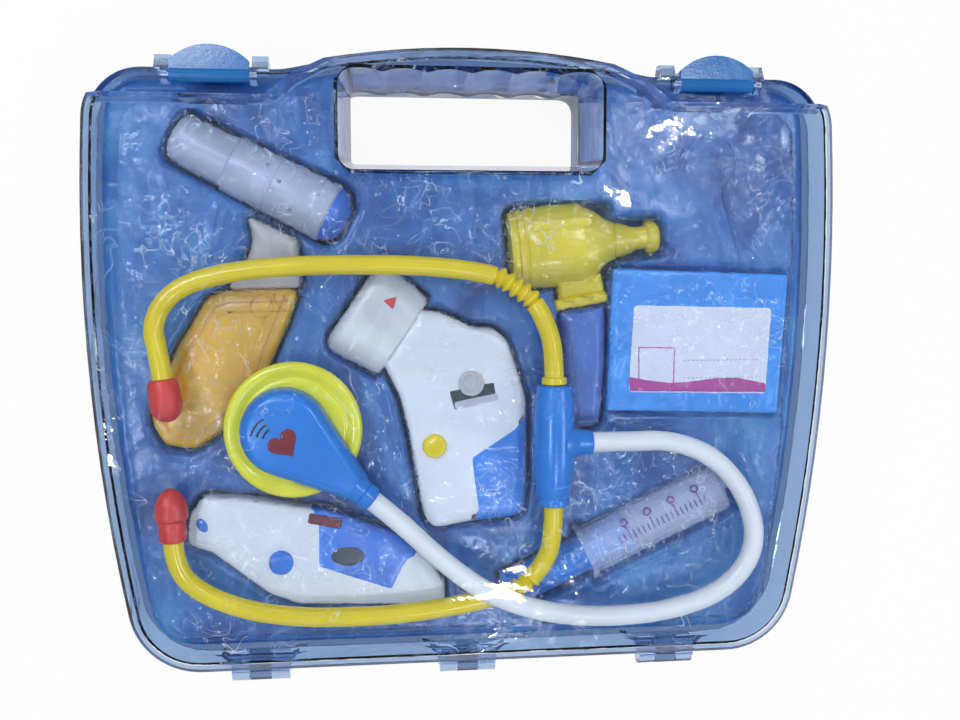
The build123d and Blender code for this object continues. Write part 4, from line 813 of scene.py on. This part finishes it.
# ---- reflex hammer
HAMMER = ((-119.6, 98.6), -26.9)
HAMMER_Z = 27.0
turned("hammer_barrel", *HAMMER, HAMMER_Z, [(0, 6.0), (0.6, 7.6), (2.2, 9.3), (4.5, 10.1), (8, 10.4), (25, 10.8),
    (25.6, 11.4), (26.4, 11.9), (44, 12.0), (44.4, 11.7), (45, 12.1), (62.6, 12.4), (63.2, 12.1), (63.8, 12.6),
    (69.4, 12.6), (70.2, 12.0)], m_grey, replaced=("hammer_head",), slot="grey_plastic", sides=64)
origin, axis, across = frame_at(*HAMMER, HAMMER_Z)
turned("hammer_tip", (origin + axis * 70.2)[:2], HAMMER[1], HAMMER_Z, [(0, 11.8), (1.5, 11.5), (3.5, 10.7),
    (5.2, 9.3), (6.8, 7.0), (7.9, 4.3), (8.4, 1.8), (8.5, 0.1)], m_royal, replaced=("hammer_cap",),
    slot="bright_blue")
STUD_RADIUS = 12.0
for index, (d, a) in enumerate([(47, 10), (55, 48), (56, -30), (64, 20), (49, -52), (62, -58), (40, 30)]):
    side, over = STUD_RADIUS * math.sin(math.radians(a)), STUD_RADIUS * math.cos(math.radians(a))
    dome(f"hammer_stud_{index}", origin + axis * d + across * side, 0.9, HAMMER_Z + over - 0.6, HAMMER_Z + over + 0.7,
        m_grey,
         "case", edge=0.6, sides=16)
HAMMER_NECK = [(-91.0, 66.0), (-70.0, 56.0), (-69.0, 46.8), (-69.0, 35.5), (-99.9, 35.0), (-92.0, 45.0), (-88.0, 56.0)]
slab("hammer_stem", rounded(HAMMER_NECK, [2, 2, 12, 2, 2, 14, 14]), 22.0, 34.0, 3.2, m_beige,
    replaced=("hammer_neck",), crown=0.8)
HAMMER_HANDLE = [
    (-108.0, 31.5), (-99.9, 35.0), (-69.0, 35.5), (-75.8, 18.3), (-85.6, -4.6), (-101.2, -23.3),
    (-113.5, -31.5), (-126.2, -29.8), (-132.2, -18.5), (-120.5, 10.4),
]
handle_outline = rounded(HAMMER_HANDLE, [8, 4, 4, 30, 30, 30, 8, 8, 14, 40])
slab("hammer_grip", handle_outline, 22.0, 34.4, 3.6, m_orange, replaced=("hammer_handle",),
    crown=0.9)
for index, (depth, width) in enumerate(((5.2, 0.7), (9.2, 0.5))):
    line = [tuple(p) for p in inset(handle_outline, depth)]
    strip(f"hammer_line_{index}", line + line[:1], width, 34.3, m_amber)
dimple = [p[:2] for p in circle((-85.0, 28.0), 4.6, 0, 24)]
strip("hammer_dimple", dimple + dimple[:1], 0.7, 34.3, m_amber)

# ---- otoscope
OTOSCOPE = ((19.0, 51.5), 5.5)
OTOSCOPE_Z = 26.4


def oto_wide(distance):
    return 4.2 if distance < 30 else max(0.0, 4.2 * (1 - (distance - 30) / 14))


turned("otoscope_body", *OTOSCOPE, OTOSCOPE_Z, [(0, 9.4), (0.3, 11.2), (1.6, 11.8), (3.2, 11.4), (3.6, 12.4),
    (5.4, 12.9), (7.0, 12.2), (7.3, 13.0), (9.4, 13.4), (11.2, 12.8), (12.5, 13.1), (20, 13.4), (30, 13.3),
    (35, 12.6), (39, 11.2), (42.5, 9.4), (45, 8.4), (46.5, 8.0)], m_yellow, replaced=("otoscope_head",),
    slot="yellow_plastic", sides=64, wide=oto_wide)
origin, axis, across = frame_at(*OTOSCOPE, OTOSCOPE_Z)
turned("otoscope_tip", (origin + axis * 46.5)[:2], OTOSCOPE[1], OTOSCOPE_Z, [(0, 8.0), (3.5, 7.0), (7, 5.6),
    (10, 5.0), (13.4, 5.0), (14, 6.4), (15, 7.0), (17.4, 6.8), (18.6, 6.0), (19.4, 4.6)], m_yellow,
    replaced=("otoscope_nozzle",), slot="yellow_plastic")
ridge = [origin + axis * d + across * w for d, w in ((9, 6.5), (33, 6.2), (36, 8.8), (34, 11.2), (9, 11.6))]
slab("otoscope_rib", rounded([p[:2] for p in ridge], 1.6, 1.0), 33.0, 39.6, 1.2, m_yellow)
foot = rounded([(39.6, 40.0), (39.9, 33.4), (40.0, 30.0), (60.4, 33.6), (59.8, 36.5), (58.6, 42.0)], 1.5, 1.0)
slab("otoscope_foot", foot, 19.0, 33.0, 2.4, m_yellow)
slab("otoscope_flange", rounded([(37.8, 30.2), (38.6, 25.6), (61.4, 29.6), (60.9, 34.4)], 1.8, 1.0), 18.6, 34.0, 1.6,
    m_yellow)
STOCK = [(41.0, 25.2), (60.6, 28.6), (61.0, 2.0), (59.0, -22.0), (56.0, -25.0), (47.5, -25.0), (45.0, -22.0)]
slab("otoscope_stock", rounded(STOCK, [1, 1, 30, 6, 5, 5, 6]), 18.0, 34.0, 5.0, m_deep, replaced=("otoscope_handle",))

# ---- badge
BADGE = [(62.8, 43.8), (140.4, 41.2), (137.0, -19.6), (60.4, -17.4)]
slab("badge_body", rounded(BADGE, 1.6), 30.0, 36.7, 0.9, m_sky_badge, replaced=("badge_frame",))
CARD = [(71.9, 28.1), (132.8, 26.6), (131.1, -10.7), (69.8, -9.3)]
slab("badge_paper", rounded(CARD, 2.0), 36.5, 37.0, 0.08, m_card, replaced=("badge_card",),
    low_edge=0.05)
wave = [(69.9, -2.6), (78, -4.2), (88, -5.6), (98, -5.0), (108, -3.8), (118, -3.6), (126, -5.2), (131.2, -6.4)]
band = wave + [(131.0, -10.2), (70.2, -8.9)]
slab("badge_band", rounded(band, 0.6, 1.2), 36.8, 37.06, 0.04, m_magenta, low_edge=0.02)
for index, y in enumerate((4.2, -3.4)):
    for k in range(18):
        x = 94.0 + k * 1.9
        strip(f"badge_dash_{index}_{k}", [(x, y), (x + 0.9, y)], 0.35, 36.98, m_ink, thick=0.06)
box_line = [(74.1, 10.0), (89.9, 9.6), (89.6, -7.3), (74.3, -6.9), (74.1, 10.0)]
for index, (p, q) in enumerate(zip(box_line, box_line[1:])):
    strip(f"badge_box_{index}", [p, q], 0.5, 37.02, m_magenta, thick=0.06)
for index in range(5):
    y = 39.4 - index * 1.9
    for k, (x0, x1) in enumerate(((65.2, 90.5), (117.0, 139.0))):
        strip(f"badge_rib_{index}_{k}", [(x0, y), (x1, y - 0.6)], 0.8, 36.7, m_sky_badge, thick=0.35)

# ---- syringe marks
SYRINGE = ((52.8, -81.7), 24.9)
MARK_START, MARK_PITCH = 16, 2.3
origin, axis, across = frame_at(*SYRINGE, 27.0)
for index in range(19):
    d = MARK_START + index * MARK_PITCH
    long_mark = index % 5 == 2
    low_turn, high_turn = -4, 26 if long_mark else 14
    pts = []
    for k in range(6):
        a = math.radians(low_turn + (high_turn - low_turn) * k / 5)
        pts.append((math.sin(a), math.cos(a)))
    verts, faces = [], []
    for sn, cs in pts:
        for off in (-0.28, 0.28):
            for r in (11.02, 11.15):
                verts.append(tuple(origin + axis * (d + off) + across * (r * sn) + Vector((0, 0, r * cs))))
    for k in range(5):
        a, b = 4 * k, 4 * (k + 1)
        faces += [(a + 1, b + 1, b + 3, a + 3), (a, a + 2, b + 2, b), (a, b, b + 1, a + 1),
            (a + 2, a + 3, b + 3, b + 2)]
    finish_mesh(f"syringe_mark_{index}", verts, faces, m_purple, "case")
for index in range(4):
    d = MARK_START + (2 + 5 * index) * MARK_PITCH
    a = math.radians(37)
    centre = origin + axis * d + across * (11.1 * math.sin(a)) + Vector((0, 0, 11.1 * math.cos(a)))
    v = across * math.cos(a) - Vector((0, 0, math.sin(a)))
    rings = []
    for r, lift in ((1.1, 0.0), (1.1, 0.12), (1.9, 0.12), (1.9, 0.0)):
        out = (across * math.sin(a) + Vector((0, 0, math.cos(a)))) * lift
        turns = [2 * math.pi * k / 18 for k in range(18)]
        rings.append([centre + out + axis * r * math.cos(t) + v * r * math.sin(t) for t in turns])
    loft(f"syringe_ring_{index}", rings, m_purple, "case", capped=False)

# ---- formed sheets: the blue tray and the clear film over it
TRAY_TOP = 32.6
TRAY_BOTTOM = 1.9
RIM_ROUND = 3.4
RIM_START = 0.6
low_left, high_left = Vector((133.0, -119.0)), Vector((148.2, 122.6))
chord = high_left - low_left
side_out = Vector((chord.y, -chord.x)).normalized()
side_points = [low_left]
for t in (0.15, 0.27, 0.38, 0.5, 0.62, 0.73, 0.85):
    side_points.append(low_left + chord * t + side_out * 9.3 * 4 * t * (1 - t))
side_points.append(high_left)
half = [(p.x, p.y) for p in side_points] + [(74.0, 122.6), (50.0, 127.2), (25.0, 130.1)]
radii = [30] + [150] * 7 + [22, 30, 200, 200]
case_points = half + [(0.0, 131.0)] + [(-x, y) for x, y in reversed(half)]
case_radii = radii + [200] + radii[::-1]
case_line = rounded(case_points, case_radii, 3.0)
grip_line = rounded([(-50.2, 84.0), (50.2, 84.0), (50.2, 118.7), (-50.2, 118.7)], 6.0, 3.0)


def bar(start, angle, length, half_start, half_end, back=0.0):
    """The outline of a tapered bar that starts at a place in plan, or some way back from it."""
    o, a, n = frame_at(start, angle, 0)
    ends = ((-back, -half_start), (length, -half_end), (length, half_end), (-back, half_start))
    return [(o + a * d + n * w)[:2] for d, w in ends]


TOOLS = [
    (gun_outline, 38.4, 14.0),
    (rounded(bar(*GUN_HEAD, 25.0, 19.6, 21.0), [1, 6, 6, 1]), 39.9, 14.0),
    (thermo_outline, 38.4, 17.6),
    (rounded(bar(*HAMMER, 78.0, 10.2, 12.4), [6, 9, 9, 6]), 39.4, 14.0),
    (rounded(HAMMER_NECK, 2), 34.6, 21.6),
    (handle_outline, 34.9, 21.6),
    (rounded(bar(*OTOSCOPE, 44.0, 17.4, 15.0), [4, 5, 5, 4]), 39.6, 12.6),
    (rounded(bar(*OTOSCOPE, 66.0, 9.0, 7.0), 3), 34.5, 17.0),
    (foot, 34.2, 18.0),
    (rounded(STOCK, 4), 34.4, 17.6),
    (rounded(BADGE, 1.6), 37.4, 29.7),
    (rounded(bar(*SYRINGE, 73.0, 11.0, 11.0), 2), 38.4, 15.6),
    (rounded(bar(*SYRINGE, 2.2, 14.0, 14.0), 0.8), 38.4, 15.6),
    (rounded(bar(*SYRINGE, 0.0, 9.0, 9.0, 38.0), 1), 38.0, 15.6),
]
MIRROR = [
    (109.5, 45.2), (117.5, 45.2), (107.5, 76.5), (113.0, 82.0), (113.7, 92.0), (107.9, 98.5), (95.5, 98.5),
    (89.7, 92.0), (91.0, 81.0), (99.5, 75.8),
]
mirror_line = rounded(MIRROR, [1, 1, 5, 6, 7, 7, 7, 7, 6, 5])


def ripples(xs, ys, *waves):
    """Slow unevenness of a sheet, from (scale, seed, height) of each wave."""
    return np.array([
        sum(noise.noise(Vector((a * scale, b * scale, seed))) * height for scale, seed, height in waves)
        for a, b in zip(xs, ys)
    ])


def sheet_points(outline, holes, pitch, margin):
    """Points and triangles of a flat sheet inside an outline and round its holes."""
    gx, gy = staggered(outline, pitch)
    keep = polygon_distance(gx, gy, outline) < -margin
    for hole in holes:
        keep &= polygon_distance(gx, gy, hole) > margin
    points = [Vector((x, y)) for x, y in zip(gx[keep], gy[keep])]
    edges, border = [], []
    for loop in [outline] + holes:
        base = len(border)
        border += [Vector((p.x, p.y)) for p in loop]
        edges += [(base + i, base + (i + 1) % len(loop)) for i in range(len(loop))]
    verts, _, faces, _, _, _ = delaunay_2d_cdt(border + points, edges, [], 0, 0.001)
    return verts, kept_faces(verts, faces, outline, holes)


def step_up(value):
    """A smooth step from 0 to 1."""
    value = np.clip(value, 0, 1)
    return value * value * (3 - 2 * value)


# the tray: rounded rim, soft pockets that hug the instruments, and its skirt
rim = inset(case_line, 2.5)
verts, faces = sheet_points(inset(rim, RIM_START), [inset(grip_line, -RIM_START)], 1.7, 0.9)
x, y = columns(verts)
edge = np.minimum(-polygon_distance(x, y, rim), polygon_distance(x, y, grip_line))
height = TRAY_TOP - RIM_ROUND * (1 - np.sqrt(np.clip(1 - (1 - np.clip(edge / RIM_ROUND, 0, 1)) ** 2, 0, 1)))
floor_z = height.copy()
for outline, top, bottom in TOOLS:
    gap = polygon_distance(x, y, outline)
    floor_z = np.minimum(floor_z, bottom + (height - bottom) * step_up((gap + 0.6) / 3.2))
ripple = ripples(x, y, (0.055, 3.0, 0.5), (0.16, 7.0, 0.18))
floor_z = floor_z + np.where(edge > 4, ripple * np.clip((edge - 4) / 6, 0, 1) - 0.3, 0) * (floor_z > TRAY_TOP - 2)
verts3 = list(zip(x, y, floor_z))


def skirt(line, heights, outward):
    """Rings of a wall that falls from a rim, from (distance, height) pairs."""
    return [[(p.x, p.y, z) for p in inset(line, d * outward)] for d, z in heights]


def add_rings(verts3, faces, rings, flip):
    """Closed bands of quads, turned over where the wall faces the other way."""
    quads = bands(len(rings[0]), len(rings), len(verts3))
    faces.extend(quad[::-1] if flip else quad for quad in quads)
    for ring in rings:
        verts3 += ring


start_z = float(TRAY_TOP - RIM_ROUND * (1 - math.sqrt(1 - (1 - RIM_START / RIM_ROUND) ** 2)))
slope = math.tan(math.radians(8.5))
brow = [(RIM_START, start_z), (0.15, start_z - 1.2), (0.0, 29.2)]
outer = brow + [(29.2 * slope - 14 * slope, 14.0), (27.4 * slope, TRAY_BOTTOM)]
add_rings(verts3, faces, skirt(rim, outer, 1), True)
add_rings(verts3, faces, skirt(grip_line, brow + [(0.4, 14.0), (0.8, TRAY_BOTTOM)], -1), False)
finish_mesh("tray_sheet", verts3, faces, m_tray, "case", ("insert_tray",), sharp=75)

# the film: flat between the instruments, sucked down round each of them, with a mirror-shaped rise
BLISTER_SIDE = [
    (121.0, -111.0), (133.0, -99.0), (140.5, -20.0), (142.5, 50.0), (140.5, 104.0), (128.0, 114.5), (64.0, 114.5),
    (55.0, 108.0), (55.0, 82.0),
]
BLISTER_RADII = [10, 10, 60, 60, 9, 9, 6, 6, 8]
FILM_THICKNESS = 0.45
FILM_HIGHEST = 41.15
FILM_EDGE_Z = 33.2
film_line = rounded(BLISTER_SIDE + [(-a, b) for a, b in reversed(BLISTER_SIDE)], BLISTER_RADII + BLISTER_RADII[::-1],
    2.0)
verts, faces = sheet_points(film_line, [], 1.5, 0.7)
x, y = columns(verts)
edge = -polygon_distance(x, y, film_line)
film = np.full(x.shape, 40.6)
trough = np.zeros(x.shape)
for outline, top, bottom in TOOLS:
    gap = polygon_distance(x, y, outline)
    over = min(top + 0.5, 40.7)
    inside = step_up((0.8 - gap) / 2.4)
    film = np.where(gap < 4, film * (1 - inside) + np.maximum(over, np.where(film < 40.5, film, 0)) * inside, film)
    trough = np.maximum(trough, 4.2 * np.exp(-((gap - 2.6) / 1.5) ** 2) * (gap > -1))
covered = np.min([polygon_distance(x, y, t[0]) for t in TOOLS], axis=0)
film = film - trough * step_up(covered / 1.2)
gap = polygon_distance(x, y, mirror_line)
film = np.where(gap < 4, film + 3.2 * step_up((0.6 - gap) / 2.2) - 1.6 * np.exp(-((gap - 1.8) / 1.1) ** 2), film)
ripple = ripples(x, y, (0.09, 11.0, 0.4), (0.30, 5.0, 0.22))
film = film + np.minimum(ripple, 0.25) * (0.35 + 0.9 * np.exp(-np.abs(covered) / 5))
film = np.minimum(film, np.where(gap < 3, 44.3, FILM_HIGHEST))
# room for the plunger along its whole travel
(start_x, start_y), turn = SYRINGE[0], math.radians(SYRINGE[1])
along = (x - start_x) * math.cos(turn) + (y - start_y) * math.sin(turn)
aside = np.abs((y - start_y) * math.cos(turn) - (x - start_x) * math.sin(turn))
room = step_up((15 - aside) / 4) * step_up((9 - along) / 4) * step_up((along + 98) / 4)
film = film + np.maximum(0, 40.3 - film) * room
film = FILM_EDGE_Z + (film - FILM_EDGE_Z) * step_up(np.clip(edge / 1.6, 0, 1))
count, border = len(verts), len(film_line)
verts3 = list(zip(x, y, film)) + list(zip(x, y, film - FILM_THICKNESS))
faces = faces + [tuple(i + count for i in f[::-1]) for f in faces]
faces += [(i, (i + 1) % border, (i + 1) % border + count, i + count) for i in range(border)]
finish_mesh("film_sheet", verts3, faces, m_blister, "case", ("blister",), sharp=80)

# ---- floor and light
floor_mat, tree, shader, out = new_material("floor_paper")
paper = ramp(tree, noise_tex(tree, coords(tree), 3.0), [(0.3, (0.86, 0.86, 0.86)), (0.7, (0.9, 0.9, 0.9))])
feed(tree, shader, {"Base Color": paper, "Roughness": 0.9})
glow = add_node(tree, "Emission", {0: (1, 1, 1, 1)})
FLOOR_GLOW = 0.93
seen = any_ray(tree, "Is Camera Ray", "Is Glossy Ray", "Is Transmission Ray")
mix_into(tree, out, combine(tree, "MULTIPLY", seen, FLOOR_GLOW), shader.outputs[0], glow.outputs[0])
floor_mesh = bpy.data.meshes.new("floor")
floor_mesh.from_pydata([(-4, -4, 0), (4, -4, 0), (4, 4, 0), (-4, 4, 0)], [], [(0, 1, 2, 3)])
floor = bpy.data.objects.new("floor", floor_mesh)
floor.location.z = -0.0004
floor_mesh.materials.append(floor_mat)
bpy.context.scene.collection.objects.link(floor)

world = bpy.data.worlds.new("studio")
world.use_nodes = True
bpy.context.scene.world = world
SKY_LIGHT = 0.34
tree = world.node_tree
seen = any_ray(tree, "Is Camera Ray", "Is Transmission Ray")
feed(tree, tree.nodes["Background"], {
    0: (0.93, 0.96, 1.0, 1), 1: combine(tree, "ADD", combine(tree, "MULTIPLY", seen, 0.7), SKY_LIGHT),
})


def lamp(name, place, aim, size, power):
    data = bpy.data.lights.new(name, "AREA")
    data.shape = "RECTANGLE"
    data.size, data.size_y = size
    data.energy = power
    obj = bpy.data.objects.new(name, data)
    obj.location = place
    obj.rotation_euler = (Vector(aim) - Vector(place)).to_track_quat("-Z", "Y").to_euler()
    bpy.context.scene.collection.objects.link(obj)


MIDDLE, RAISED = (0, 0, 0), (0, 0, 0.03)
LAMPS = [
    ("key", (-0.75, 0.7, 1.1), MIDDLE, (0.4, 0.4), 6.0),
    ("fill", (0.9, -0.2, 0.9), MIDDLE, (0.5, 0.3), 3.0),
    ("strip", (0.1, 1.1, 0.55), RAISED, (0.9, 0.08), 1.8),
    ("strip_low", (-0.1, -1.0, 0.6), RAISED, (0.8, 0.08), 1.5),
    ("glint_a", (-0.30, 0.36, 1.0), MIDDLE, (0.05, 0.05), 1.1),
    ("glint_b", (0.34, 0.22, 0.95), MIDDLE, (0.05, 0.05), 1.1),
    ("glint_c", (0.12, -0.38, 0.95), MIDDLE, (0.12, 0.03), 1.1),
    ("glint_d", (-0.42, -0.16, 0.9), MIDDLE, (0.04, 0.10), 1.1),
]
for row in LAMPS:
    lamp(*row)
